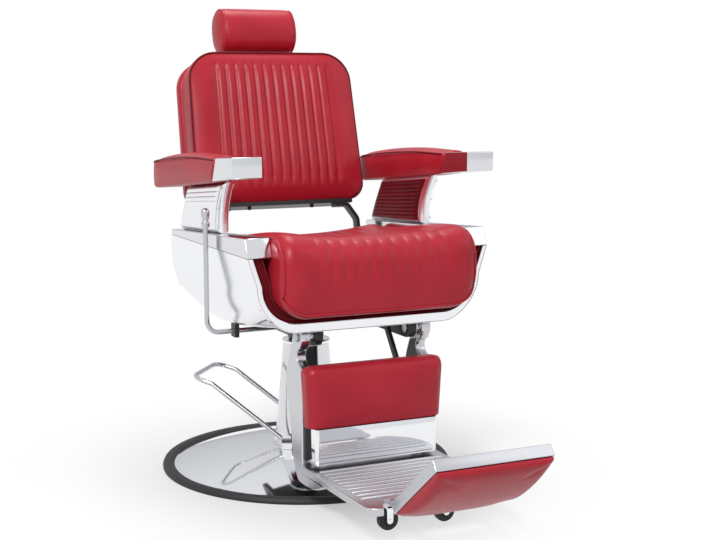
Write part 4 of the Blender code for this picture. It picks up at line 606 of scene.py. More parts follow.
def make_pedal():
    """Loop drawn along +X, then turned to its heading: two legs that climb, bend level and meet in an arc."""
    pivot_out = 0.020
    pivot_up = 0.5 * sum(heights("near_pedal_hub"))
    root = pivot_out + 9.3 * MM
    start = root + PEDAL_ROD
    bend_out, bend_up = 0.212, 0.125
    tip_out, tip_up = 0.262, 0.139
    corner = 0.030
    side = fillet(((root, 0, 0), (start, 0, 3 * MM), (bend_out, bend_up, 30 * MM),
                   (tip_out - corner, bend_up + (tip_up - bend_up) * (tip_out - corner - bend_out)
                    / (tip_out - bend_out), 0)), 8, False)
    leg = np.stack([side[:, 0], np.full(len(side), PEDAL_HALF_WIDTH), pivot_up + side[:, 1]], -1)
    turn = arc((tip_out - corner, PEDAL_HALF_WIDTH - corner), corner, 90, 0, 14)[1:]
    rise = pivot_up + tip_up - (tip_out - turn[:, 0]) * (tip_up - bend_up) / (tip_out - bend_out)
    end = np.stack([turn[:, 0], turn[:, 1], rise], -1)
    half = np.concatenate([leg, end])
    loop = np.concatenate([half, (half * (1, -1, 1))[::-1]])
    heading = np.array(Matrix.Rotation(PEDAL_HEADING, 3, "Z"))
    points, faces = tube(loop, PEDAL_ROD, 24)
    piece("pedal_loop", (points @ heading.T, faces), "pedal", "chrome", ["pump_pedal"], finish=SHADED_CHROME_ROD)


# Tub, liner and rails
TUB_HALF_WIDTH = 0.287
TUB_LEAN = 0.020
TUB_CORNER = 0.092
TUB_REAR_CORNER = 0.030
TUB_DEPTH = 0.153
TUB_FRONT = -0.367
TUB_REAR = 0.150
TUB_REAR_LIFT = 0.330
TUB_REAR_RISE = 0.130
TUB_BELLY = 0.030
TUB_BELLY_SPAN = 0.440
TUB_LIP_DROP = 11 * MM
TUB_LIP = 10 * MM
TUB_OPENING = 0.126
TUB_STRIP = 0.077
TUB_SIDE_WALL = 11 * MM
TUB_BOTTOM_WALL = 9 * MM
LINER_SIDE_WALL = 24 * MM
LINER_BOTTOM_WALL = 15 * MM
TUB_LIP_FADE = 0.09
FIT = 0.3 * MM

# Points in each part of half a tub section
SIDE_POINTS = 7
CORNER_POINTS = 16
FLOOR_POINTS = 7


def tub_section(side_inset, bottom_inset, share=0.0):
    """Half of the U from the top of its side to the middle: a leaning side, a quarter arc and a level floor.
    Towards the rear, by a share from 0 to 1, the side stands up and the arc gets smaller."""
    lean = TUB_LEAN * (1 - share)
    radius = TUB_CORNER + (TUB_REAR_CORNER - TUB_CORNER) * share
    centre = TUB_HALF_WIDTH - lean - radius
    place = np.linspace(0, 1, SIDE_POINTS + 1)[:-1]
    side = np.stack([TUB_HALF_WIDTH - side_inset - lean * place,
                     TUB_DEPTH + (radius - TUB_DEPTH) * place], -1)
    place = np.linspace(0, 1, CORNER_POINTS)
    reach = radius - side_inset * (1 - place) - bottom_inset * place
    angle = math.pi / 2 * place
    corner = np.stack([centre + reach * np.cos(angle), radius - reach * np.sin(angle)], -1)
    across = np.concatenate([np.linspace(centre, TUB_OPENING, 4)[1:],
                             np.linspace(TUB_OPENING, 0, FLOOR_POINTS - 2)[1:]])
    level = np.stack([across, np.full(FLOOR_POINTS, bottom_inset)], -1)
    return np.concatenate([side, corner, level])


def whole_section(side_inset, bottom_inset, share=0.0):
    """The whole U: the half section and its mirror image."""
    return mirrored(tub_section(side_inset, bottom_inset, share))


def tub_rear(height):
    """Rear edge seen from the side: upright above, swept far forward below like a boat's stern, by the power
    1.5 of how far a point lies below the rise."""
    fall = np.clip((TUB_REAR_RISE - height) / TUB_REAR_RISE, 0, 1)
    return TUB_REAR - TUB_REAR_LIFT * fall ** 1.5


def tub_belly(along):
    """How far the lower corners hang down between the front and the stern: a sine wave round the corner times
    one along the tub, both to the power 0.8, and nothing on the sides and the floor."""
    corner = np.abs(np.sin(np.pi * np.linspace(0, 1, CORNER_POINTS))) ** 0.8
    half = np.concatenate([np.zeros(SIDE_POINTS), corner, np.zeros(FLOOR_POINTS)])
    share = np.clip((along - TUB_FRONT) / TUB_BELLY_SPAN, 0, 1)
    return np.concatenate([half, half[-2::-1]]) * np.abs(np.sin(np.pi * share)) ** 0.8


def two_skins(outer, inner, kept):
    """Closed sheet from two skins over one grid: the kept cells on both, and a wall along each side of a kept
    cell that has no kept cell beyond it."""
    rows, columns = outer.shape[:2]
    number = np.arange(rows * columns).reshape(rows, columns)
    behind = rows * columns
    corners = np.stack([number[:-1, :-1], number[:-1, 1:], number[1:, 1:], number[1:, :-1]], -1)
    framed = np.pad(kept, 1)
    beyond = (framed[:-2, 1:-1], framed[1:-1, 2:], framed[2:, 1:-1], framed[1:-1, :-2])
    faces = corners[kept].tolist() + (corners[kept][:, ::-1] + behind).tolist()
    for edge, neighbour in enumerate(beyond):
        border = kept & ~neighbour
        start = corners[border][:, edge]
        end = corners[border][:, (edge + 1) % 4]
        faces += np.stack([end, start, start + behind, end + behind], -1).tolist()
    return np.concatenate([outer.reshape(-1, 3), inner.reshape(-1, 3)]), faces


def u_wall(side, bottom, side_wall, bottom_wall, front, rear_setback, edge, belly=0.0, lip_drop=0.0):
    """Wall between two U sections from the front to the tub's stern. Every lengthwise line runs straight from
    the front section to the rear one, less the belly; at both ends the skins close in along a quarter circle
    of radius edge. The first rows hang down as a lip, and the floor is open behind its front strip."""
    outer = [whole_section(side, bottom, share) for share in (0.0, 1.0)]
    inner = [whole_section(side + side_wall, bottom + bottom_wall, share) for share in (0.0, 1.0)]
    rear = tub_rear(whole_section(0, 0)[:, 1]) - rear_setback
    angle = quarter(6)
    rounding = np.stack([edge * (1 - np.sin(angle)), np.cos(angle)], -1)
    step = ((TUB_LIP - 2 * MM, 1.0), (TUB_LIP - 0.8 * MM, 0.9), (TUB_LIP, 0.6), (TUB_LIP + 0.3 * MM, 0.0))
    begin = front + step[-1][0]
    opening = (TUB_FRONT + TUB_STRIP - begin) / (rear.min() - edge - begin)
    run = np.concatenate([np.linspace(0, opening, 6)[1:], np.linspace(opening, 1, 22)[1:-1]])
    rows = [(front + push + 0 * rear, close, 1.0) for push, close in rounding]
    rows += [(front + push + 0 * rear, 0.0, hang) for push, hang in step]
    open_from = len(rows) + 4
    rows += [(begin + share * (rear - edge - begin), 0.0, 0.0) for share in run]
    rows += [(rear - push, close, 0.0) for push, close in rounding[::-1]]
    skins = []
    for skin, facing, drop in ((outer, inner, lip_drop), (inner, outer, 0.0)):
        rings = []
        for along, close, hang in rows:
            share = ((along - TUB_FRONT) / (TUB_REAR - TUB_FRONT))[:, None]
            here = skin[0] + share * (skin[1] - skin[0])
            there = facing[0] + share * (facing[1] - facing[0])
            towards = (there - here) / np.linalg.norm(there - here, axis=1, keepdims=True)
            here = here + towards * edge * close
            inside = np.clip((TUB_HALF_WIDTH - TUB_LEAN - np.abs(here[:, 0])) / TUB_LIP_FADE, 0, 1)
            height = here[:, 1] - belly * tub_belly(along) - drop * hang * eased(inside)
            rings.append(np.stack([here[:, 0], along, height + SEAT_BASE], -1))
        skins.append(np.array(rings))
    level = np.abs(outer[0][:, 0]) < TUB_OPENING + 0.1 * MM
    kept = np.ones((len(rows) - 1, len(level) - 1), bool)
    kept[open_from:, level[:-1] & level[1:]] = False
    return two_skins(skins[0], skins[1], kept)


def make_tub():
    """The chrome tub, and inside its walls the red liner, set back at the front and at the stern."""
    tub = u_wall(0, 0, TUB_SIDE_WALL, TUB_BOTTOM_WALL, TUB_FRONT, 0, 1.6 * MM, TUB_BELLY, TUB_LIP_DROP)
    piece("chrome_tub", tub, "seat", "chrome", ["seat_tub"], 28, CHROME_SHEET)
    # The liner takes the dark red panel finish: its darker red is painted shade in the recess between the
    # tub's rim and the cushion.
    liner = u_wall(TUB_SIDE_WALL + 4 * FIT, TUB_BOTTOM_WALL + 2 * FIT, LINER_SIDE_WALL, LINER_BOTTOM_WALL,
                   TUB_FRONT + 9 * MM, 30 * MM, 5 * MM)
    piece("red_liner", liner, "seat", "dark_red_panel", ["seat_liner"], 40)


# Rails, arms and inserts
RAIL_INSIDE = 0.232
RAIL_BASE = SEAT_BASE + TUB_DEPTH + FIT
RAIL_FRONT = TUB_FRONT + 18 * MM
RAIL_REAR = TUB_REAR - 4 * MM
ARM_PAD_BASE = SEAT_BASE + 0.306
ARM_PAD_FRONT = -0.235
ARM_PAD_SLOPE = 0.0995
ARM_INSIDE = 0.245
ARM_WIDTH = 0.067
PANEL_INSIDE = 0.240
PANEL_OUTSIDE = 0.270
RAIL_FRONT_HEIGHT = 41
RAIL_REAR_HEIGHT = 13.5
INSERT_BORDER = 12 * MM


def rail_top(y):
    """Top of the side rail, a straight line that falls from its front height to its rear height, in mm."""
    share = (y - RAIL_FRONT) / (RAIL_REAR - RAIL_FRONT)
    return RAIL_BASE + RAIL_FRONT_HEIGHT * MM + share * (RAIL_REAR_HEIGHT - RAIL_FRONT_HEIGHT) * MM


def pad_base(y):
    """Underside of the arm pad, a straight line that falls to the rear."""
    return ARM_PAD_BASE - ARM_PAD_SLOPE * (y - ARM_PAD_FRONT)


def panel_edges(share, inset):
    """Front and rear edge of the arm panel at a share of its height: hollow in front, slanted behind."""
    front = -0.137 + (-0.180 + 0.137) * share ** 2.2 + 4 * MM * np.sin(np.pi * share)
    rear = 0.142 + (0.079 - 0.142) * share ** 1.25
    return front + inset, rear - inset


def panel_height(y, share):
    """Height at a share of the way from the rail up to the pad."""
    low = rail_top(y) + FIT
    return low + share * (pad_base(y) - FIT - low)


def ribbed_insert(sign, face, towards, ribs, proud, rib_height, border, low_share):
    """Plate over an arm panel whose face is a row of level half-round ribs: the height out of the plate is
    the rib height times the root of one minus the square of the place in the rib. Below the low share of the
    plate's height the ribs have a tenth of their height."""
    share = np.linspace(0.08, 0.94, ribs * 10 + 1)[:, None]
    front, rear = panel_edges(share, border)
    run = np.linspace(0, 1, 24)[None]
    y = front + (rear - front) * run
    z = panel_height(y, share)
    phase = np.linspace(-1, 1, 11)[:-1]
    wave = np.append(np.tile(np.sqrt(np.maximum(0, 1 - phase ** 2)), ribs), 0)[:, None]
    wave = wave * (0.1 + 0.9 * np.clip((share - low_share) / 0.12 + 0.5, 0, 1))
    close = np.sqrt(np.clip(1 - np.abs(2 * run - 1) ** 24, 0, 1))
    out = face + towards * (FIT + (proud + rib_height * wave) * close)
    back = np.full_like(y, face + towards * FIT)
    skin = np.stack([sign * out, y, z], -1)
    rear_skin = np.stack([sign * back, y, z], -1)
    return sleeve(np.concatenate([skin, rear_skin[:, ::-1]], 1), True)


def screw_head(centre, radius, height, way):
    """Domed screw head whose axis is X, pointing to +X or -X."""
    dome = np.stack([radius * np.cos(quarter(8)), height * np.sin(quarter(8))], -1)
    dome = np.concatenate([[(0.0, -0.4 * MM), (radius, -0.4 * MM)], dome])
    return moved(across_x(lathe(dome * (1, way), 28)), centre)


def make_arm(side, sign):
    """Wedge-shaped rail, hollow-fronted post with a ribbed insert on each face, three screws and the cap."""
    rail = fillet(((TUB_FRONT, RAIL_BASE, 2.2 * MM), (TUB_REAR - 1 * MM, RAIL_BASE, 2.2 * MM),
                   (RAIL_REAR, rail_top(RAIL_REAR), 4 * MM), (RAIL_FRONT, rail_top(RAIL_FRONT), 2.6 * MM)))
    piece(side + "_rail", side_plate(sign, rail, RAIL_INSIDE, TUB_HALF_WIDTH, 1.6 * MM), "seat", "chrome",
          [side + "_side_rail"], finish=SHADED_CHROME_BAR)

    share = np.concatenate([[0], np.linspace(0.17, 0.83, 31), [1]])
    front, rear = panel_edges(share, 0)
    edge = np.concatenate([np.stack([front, panel_height(front, share)], -1),
                           np.stack([rear, panel_height(rear, share)], -1)[::-1]])
    post = side_plate(sign, edge, PANEL_INSIDE, PANEL_OUTSIDE, 14 * MM, 12)
    piece(side + "_arm_post", post, "seat", "chrome", [side + "_arm_panel"], finish=CHROME_SATIN)

    outer = ribbed_insert(sign, PANEL_OUTSIDE, 1, 9, 1.5 * MM, 1.4 * MM, INSERT_BORDER, 0.62)
    piece(side + "_outer_ribs", outer, "seat", "chrome", [side + "_outer_insert"], 50, CHROME_SATIN)
    # The inner insert takes the dark red panel finish: its darker red is painted shade on the face turned to
    # the seat.
    inner = ribbed_insert(sign, PANEL_INSIDE, -1, 10, 2.3 * MM, 2 * MM, INSERT_BORDER, 0.0)
    piece(side + "_inner_ribs", inner, "seat", "dark_red_panel", [side + "_inner_insert"], 50)

    screws = []
    for place in (0.12, 0.5, 0.88):
        y = float(panel_edges(np.array(place), 6 * MM)[0])
        centre = (sign * PANEL_OUTSIDE, y, float(panel_height(y, place)))
        screws.append(screw_head(centre, 2.6 * MM, 1.5 * MM, sign))
    piece(side + "_post_screws", joined(*screws), "seat", "chrome")

    joint = ARM_PAD_FRONT - 0.6 * MM
    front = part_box(side + "_arm_cap")[0][1]
    cap = fillet(((front, SEAT_BASE + 0.319, 2.2 * MM), (joint + 12.5 * MM, ARM_PAD_BASE, 2.2 * MM),
                  (joint - 10.7 * MM, SEAT_BASE + 0.357, 2.2 * MM), (front, SEAT_BASE + 0.363, 2.2 * MM)))
    block = side_plate(sign, cap, ARM_INSIDE, ARM_INSIDE + ARM_WIDTH, 1.6 * MM)
    piece(side + "_cap", block, "seat", "chrome", [side + "_arm_cap"], finish=SHADED_CHROME_BAR)


# Covers
def from_line(x, count, pitch):
    """Way to the nearest sewn line, as a share of the pitch."""
    place = (x + count * pitch / 2) / pitch
    return np.abs(place - np.round(place))


def dip_of(x, count, pitch):
    """Sewn dip from 0 to 1 across a channelled cover: a valley at each line, a round crest between, as the
    power 2.2 of how near the line is."""
    half = count * pitch / 2
    inside = np.clip(from_line(x, count, pitch) * 2, 0, 1)
    outside = np.clip((np.abs(x) - half) / pitch * 1.4, 0, 1)
    place = np.where(np.abs(x) <= half, inside, outside)
    return (1 - place) ** 2.2


def corner_drop(x, half, radius):
    """How far a round corner draws in the end of a form at x: the radius less the root of its square less
    the square of the way into the corner."""
    over = np.clip((np.abs(x) - (half - radius)) / radius, 0, 1)
    return radius * (1 - np.sqrt(np.maximum(0, 1 - over ** 2)))


def stations(count, pitch, fine, edges):
    """Places across a channelled cover, with one on each sewn line, then the plain edges on both sides."""
    half = count * pitch / 2
    sewn = np.linspace(-half, half, count * fine + 1)
    return np.concatenate([-np.asarray(edges)[::-1], sewn, edges])


def closed_ends(rings, bulge, steps=6):
    """Close both ends of a row of rings: each end ring shrinks to its middle while it moves out by a dome."""
    share = np.linspace(1, 0, steps + 1)[1:, None, None]
    caps = []
    for end, way in ((rings[0], -1), (rings[-1], 1)):
        middle = end.mean(0)
        cap = middle + (end - middle)[None] * share
        cap[..., 0] += way * bulge * (1 - share[..., 0] ** 2)
        caps.append(cap)
    return np.concatenate([caps[0][::-1], rings, caps[1]])


SEAT_HALF_WIDTH = 0.2312
SEAT_FRONT = -0.428
SEAT_REAR = 0.076
SEAT_CHANNELS = 10
SEAT_PITCH = 0.030
SEAT_DIP = 3.2 * MM
SEAT_ROLL = 34 * MM
SEAT_TOE = 4 * MM
SEWN_NEAR = 0.03
WELT = 2.6 * MM
THIN_WELT = 1.7 * MM


def seat_rings(x):
    """Closed side outlines of the seat at each place across: a dished top, a waterfall front, a flat bottom
    that follows the liner, and a square rear. Returns y, z and the column where each run of a ring starts."""
    side = TUB_SIDE_WALL + LINER_SIDE_WALL + 6 * FIT
    floor_line = tub_section(side, TUB_BOTTOM_WALL + LINER_BOTTOM_WALL + 4 * FIT)[::-1]
    floor = np.interp(np.abs(x), floor_line[:, 0], floor_line[:, 1])[:, None]
    drop = corner_drop(x, SEAT_HALF_WIDTH, SEAT_ROLL)[:, None]
    outward = np.abs(x[:, None] / SEAT_HALF_WIDTH)
    crest = 0.190 + 0.020 * outward ** 2.4 - drop
    rear_top = 0.149 + 0.022 * outward ** 2.2 - 0.8 * drop
    face = SEAT_FRONT + 0.7 * drop
    rear = SEAT_REAR - 0.5 * drop
    bend = np.minimum(0.060, 0.55 * (crest - floor))
    turn = np.minimum(0.022, 0.3 * (crest - floor))
    rear_turn = np.minimum(0.020, 0.35 * (rear_top - floor))

    share = np.linspace(0, 1, 46)[None]
    top = ((rear - rear_turn) + (face + bend - rear + rear_turn) * share,
           rear_top + (crest - rear_top) * (0.5 - 0.5 * np.cos(np.pi * share))
           - 4 * MM * np.sin(np.pi * share))
    angle = quarter(18)[None, 1:]
    brow = (face + bend * (1 - np.sin(angle)), crest - bend * (1 - np.cos(angle)))
    share = np.linspace(0, 1, 14)[None, 1:-1]
    front = (face + SEAT_TOE * share - 3 * MM * np.sin(np.pi * share),
             (crest - bend) + (floor + turn - crest + bend) * share)
    angle = quarter(9)[None]
    under = (face + SEAT_TOE + turn * (1 - np.cos(angle)), floor + turn * (1 - np.sin(angle)))
    share = np.linspace(0, 1, 10)[None, 1:]
    bottom = (face + SEAT_TOE + turn + (rear - face - SEAT_TOE - turn - rear_turn / 2) * share,
              floor + 0 * share)
    angle = quarter(5)[None, 1:]
    back_low = (rear - rear_turn / 2 * (1 - np.sin(angle)), floor + rear_turn / 2 * (1 - np.cos(angle)))
    share = np.linspace(0, 1, 6)[None, 1:-1]
    back = (rear + 0 * share, floor + rear_turn / 2 + (rear_top - floor - 1.5 * rear_turn) * share)
    angle = quarter(7)[None, :-1]
    back_top = (rear - rear_turn * (1 - np.cos(angle)), rear_top - rear_turn * (1 - np.sin(angle)))
    runs = (top, brow, front, under, bottom, back_low, back, back_top)
    ring_y, ring_z = ring_of(len(x), runs)
    return ring_y, ring_z, np.cumsum([0] + [run[0].shape[1] for run in runs])


def make_seat():
    """Cushion in rings across X, pressed in square to its surface along the sewn lines; the dip fades towards
    the rear, over the bend and down the front. A welt runs along both sides and below the front."""
    corner = SEAT_HALF_WIDTH - SEAT_ROLL
    half = SEAT_CHANNELS * SEAT_PITCH / 2
    edges = np.concatenate([np.linspace(half, corner, 16)[1:-1], corner + SEAT_ROLL * np.sin(quarter(9))])
    x = stations(SEAT_CHANNELS, SEAT_PITCH, 10, edges)
    ring_y, ring_z, starts = seat_rings(x)
    top, brow, front = (np.linspace(0, 1, count) for count in np.diff(starts)[:3])
    fade = np.zeros(ring_y.shape[1])
    fade[:starts[3]] = np.concatenate([np.clip(top / 0.06, 0, 1) * (0.75 - 0.35 * top ** 2),
                                       0.40 + 0.55 * brow,
                                       0.95 * np.clip(1 - front / 0.60, 0, 1) ** 1.1])
    dip = SEAT_DIP * dip_of(x, SEAT_CHANNELS, SEAT_PITCH)[:, None] * fade[None]
    way_y = np.gradient(ring_z, axis=1)
    way_z = -np.gradient(ring_y, axis=1)
    size = np.maximum(np.hypot(way_y, way_z), 1e-9)
    ring_y = ring_y - dip * way_y / size
    ring_z = ring_z - dip * way_z / size
    points = np.stack([np.broadcast_to(x[:, None], ring_y.shape), ring_y, ring_z + SEAT_BASE], -1)
    item = piece("seat_cover", sleeve(closed_ends(points, 1.5 * MM)), "seat", "red_leatherette",
                 ["seat_cushion"], SOFT_CREASE)
    place = places(item.data)
    across = np.abs(place[:, 0])
    sewn = from_line(place[:, 0], SEAT_CHANNELS, SEAT_PITCH) < SEWN_NEAR
    held = sewn & (across < half + 1 * MM) & (place[:, 2] > SEAT_BASE + 0.11)
    held |= (across > 0.200) | (place[:, 1] > SEAT_REAR - 0.03) | (place[:, 2] < SEAT_BASE + 0.05)
    swell(item, held, 4.0, 4 * MM)
    smooth_cover(item)

    seam = np.argmin(np.abs(x - (corner + 0.80 * SEAT_ROLL)))
    mirror = len(x) - 1 - seam
    front_low = starts[3] + 3
    side_run = points[seam, 2:front_low + 1]
    low_run = points[mirror:seam + 1, front_low][::-1][1:-1]
    other_run = points[mirror, 2:front_low + 1][::-1]
    welt = np.concatenate([side_run, low_run, other_run])
    welt[:, 0] += np.sign(welt[:, 0]) * np.where(np.abs(welt[:, 0]) > 0.2, 1.2 * MM, 0)
    welt[:, 1] -= np.where(welt[:, 1] < SEAT_FRONT + 0.05, 0.8 * MM, 0)
    piece("seat_welt", tube(welt, WELT, 12), "seat", "red_leatherette", (), SOFT_CREASE)


BACK_HALF_WIDTH = 0.2217
BACK_TAPER = 9 * MM
BACK_LENGTH = 0.3735
BACK_DEPTH = 0.070
BACK_TOP_CORNER = 0.072
BACK_FOOT_CORNER = 0.038
BACK_CROWN = 0.020
BACK_CHANNELS = 12
BACK_PITCH = 0.0255
BACK_DIP = 6 * MM
BACK_MARGIN_TOP = 0.018
BACK_MARGIN_LOW = 0.030
BACK_TUCK = 8 * MM
BACK_TUCK_HEIGHT = 0.050
BACK_BOARD = 0.035
BACK_BOARD_OVERHANG = 6 * MM
BACK_EDGE = 0.045
BACK_ROLL = 5 * MM
BACK_REAR_ROLL = 12 * MM
BACK_BULGE = 2.5 * MM
OUTLINE_STEP = 12 * MM


def back_width_share(up):
    """Width of the back at a height along it, as a share of its width at the foot."""
    return 1 - BACK_TAPER / BACK_HALF_WIDTH * up / BACK_LENGTH


def back_tuck(up):
    """How far the foot of the front is drawn in, by the square of the way below the tuck's height."""
    return BACK_TUCK * np.clip(1 - up / BACK_TUCK_HEIGHT, 0, 1) ** 2


def back_outline(wider, low, less_high):
    """Front outline of the back: narrower at the top, with wide upper and small lower corners."""
    foot = BACK_HALF_WIDTH + wider
    top = BACK_HALF_WIDTH - BACK_TAPER + wider
    high = BACK_LENGTH - less_high
    line = fillet(((-foot, low, BACK_FOOT_CORNER), (foot, low, BACK_FOOT_CORNER),
                   (top, high, BACK_TOP_CORNER), (-top, high, BACK_TOP_CORNER)), 20)
    ahead = np.roll(line, -1, 0) - line
    steps = np.maximum(1, (np.hypot(*ahead.T) / OUTLINE_STEP).astype(int))
    first = np.repeat(np.cumsum(steps) - steps, steps)
    share = (np.arange(steps.sum()) - first) / np.repeat(steps, steps)
    return np.repeat(line, steps, 0) + np.repeat(ahead, steps, 0) * share[:, None]


def make_back():
    """Cushion in rings across X. Each ring runs up the front, over a rolled edge, down the gusset, the rear
    and back; sewn dips press the front in between the two margins."""
    half = BACK_CHANNELS * BACK_PITCH / 2
    inside = BACK_HALF_WIDTH - BACK_EDGE
    edges = np.concatenate([np.linspace(half, inside, 5)[1:-1], inside + BACK_EDGE * np.sin(quarter(22))])
    x = stations(BACK_CHANNELS, BACK_PITCH, 8, edges)
    crown = (BACK_CROWN * (1 - (np.abs(x) / BACK_HALF_WIDTH) ** 3))[:, None]
    low = corner_drop(x, BACK_HALF_WIDTH, BACK_FOOT_CORNER)[:, None]
    high = BACK_LENGTH - corner_drop(x, BACK_HALF_WIDTH, BACK_TOP_CORNER)[:, None]
    roll, rear_roll = BACK_ROLL, BACK_REAR_ROLL
    depth = BACK_DEPTH - rear_roll

    share = np.linspace(0, 1, 84)[None]
    up = low + roll + (high - low - 2 * roll) * share
    fade = np.clip((up - BACK_MARGIN_LOW) / (34 * MM), 0, 1)
    fade = fade * np.clip((BACK_LENGTH - BACK_MARGIN_TOP - up) / (24 * MM), 0, 1)
    dip = BACK_DIP * dip_of(x, BACK_CHANNELS, BACK_PITCH)[:, None] * eased(fade)
    front = (up, crown * (1 - np.abs(2 * share - 1) ** 5) - back_tuck(up) - dip)
    angle = quarter(6)[None, 1:]
    top_roll = (high - roll + roll * np.sin(angle), -roll * (1 - np.cos(angle)))
    share = np.linspace(0, 1, 10)[None, 1:]
    top = (high + BACK_BULGE * np.sin(np.pi * share), -roll - (depth - roll) * share)
    angle = quarter(8)[None, 1:]
    rear_top = (high - rear_roll + rear_roll * np.cos(angle), -depth - rear_roll * np.sin(angle))
    share = np.linspace(0, 1, 16)[None, 1:-1]
    rear = ((high - rear_roll) + (low - high + 2 * rear_roll) * share, -BACK_DEPTH + 0 * share)
    angle = quarter(8)[None, :-1]
    rear_low = (low + rear_roll - rear_roll * np.sin(angle), -depth - rear_roll * np.cos(angle))
    share = np.linspace(1, 0, 10)[None, :-1]
    under = (low - BACK_BULGE * 0.3 * np.sin(np.pi * share),
             -roll - BACK_TUCK - (depth - roll - BACK_TUCK) * share)
    angle = quarter(6)[None, :0:-1]
    low_roll = (low + roll - roll * np.sin(angle), -roll * (1 - np.cos(angle)) - BACK_TUCK)
    up, out = ring_of(len(x), (front, top_roll, top, rear_top, rear, rear_low, under, low_roll))
    rings = closed_ends(np.stack([x[:, None] * back_width_share(up), up, out], -1), 3 * MM)
    item = piece("back_cover", laid(sleeve(rings), on_back), "back", "red_leatherette", ["back_cushion"],
                 SOFT_CREASE)
    place = places(item.data) - (0, BACK_FOOT_Y, BACK_FOOT_Z)
    up = place[:, 1] * math.sin(BACK_TILT) + place[:, 2] * math.cos(BACK_TILT)
    out = -place[:, 1] * math.cos(BACK_TILT) + place[:, 2] * math.sin(BACK_TILT)
    across = place[:, 0] / back_width_share(up)
    sewn = (from_line(across, BACK_CHANNELS, BACK_PITCH) < SEWN_NEAR) & (np.abs(across) < half + 1 * MM)
    sewn &= (up > BACK_MARGIN_LOW) & (up < BACK_LENGTH - BACK_MARGIN_TOP) & (out > -2 * MM)
    held = sewn | (out < -1 * MM) | (up < 8 * MM) | (up > BACK_LENGTH - 8 * MM)
    held |= np.abs(across) > BACK_HALF_WIDTH - 6 * MM
    swell(item, held, 4.0, 4 * MM)
    smooth_cover(item)

    edge = back_outline(0, 0, 0)
    path = on_back(edge[:, 0] * 1.002, edge[:, 1], -1.5 * MM - back_tuck(edge[:, 1]))
    # The welt takes the dark red panel finish: its darker red is painted shade along the seam round the
    # front.
    piece("back_front_welt", tube(path, WELT, 12, True), "back", "dark_red_panel", (), SOFT_CREASE)

    rear = -BACK_DEPTH - FIT
    board = slab(back_outline(BACK_BOARD_OVERHANG, 3 * MM, 4 * MM), rear - BACK_BOARD, rear, 12 * MM, 9)
    piece("back_shell", laid(board, on_back), "back", "red_leatherette", ["back_board", "headrest_sleeve"],
          50)


BOLSTER_GAP = 20 * MM
BOLSTER_BEHIND = 89 * MM
BOLSTER_TALL = 0.115 / 2
BOLSTER_DEEP = 0.100 / 2
BOLSTER_HALF = 0.101
BOLSTER_RIM = 21 * MM
BOLSTER_ROUND = 14 * MM
BOLSTER_POWER = 0.86
BOLSTER_POINTS = 72


def make_headrest():
    """Bolster along X: a soft square section, from the power 0.86 of sine and cosine, that closes at each end
    over a rounded rim onto a domed panel. A welt runs round each rim."""
    middle = BACK_LENGTH + BOLSTER_GAP + BOLSTER_TALL
    inside = BOLSTER_HALF - BOLSTER_RIM
    angle = quarter(9)[::-1]
    edge_x = inside + BOLSTER_RIM * np.cos(angle)
    edge_size = -BOLSTER_ROUND * (1 - np.sin(angle))
    inner_x = np.linspace(-inside, inside, 36)[1:-1]
    x = np.concatenate([-edge_x[::-1], inner_x, edge_x])[:, None]
    shrink = np.concatenate([edge_size[::-1], 0 * inner_x, edge_size])[:, None]
    turn = np.linspace(0, math.tau, BOLSTER_POINTS, endpoint=False)
    out = np.sign(np.cos(turn)) * np.abs(np.cos(turn)) ** BOLSTER_POWER
    up = np.sign(np.sin(turn)) * np.abs(np.sin(turn)) ** BOLSTER_POWER
    fuller = 1 + 0.025 * np.cos(np.pi * x / 2 / BOLSTER_HALF)
    rings = np.stack([x + 0 * turn, middle + (BOLSTER_TALL + shrink) * up,
                      -BOLSTER_BEHIND + (BOLSTER_DEEP + shrink) * fuller * out], -1)
    item = piece("headrest_cover", laid(sleeve(closed_ends(rings, 5 * MM, 8)), on_back), "headrest",
                 "red_leatherette", ["headrest_cushion"], SOFT_CREASE)
    seam = BOLSTER_HALF - BOLSTER_RIM * 0.35
    held = np.abs(np.abs(places(item.data)[:, 0]) - seam) < 3 * MM
    swell(item, held, 3.0, 3 * MM)
    smooth_cover(item)

    inset = BOLSTER_ROUND * (1 - math.sqrt(1 - 0.65 ** 2)) - 1 * MM
    welts = []
    for way in (-1, 1):
        ring = on_back(way * seam, middle + (BOLSTER_TALL - inset) * up,
                       -BOLSTER_BEHIND + (BOLSTER_DEEP - inset) * out)
        welts.append(tube(ring, THIN_WELT, 10, True))
    piece("headrest_welts", joined(*welts), "headrest", "red_leatherette", (), SOFT_CREASE)


ARM_PAD_REAR = 0.245
ARM_PAD_NOSE = 0.86
ARM_PAD_RAKE = 12.5 * MM


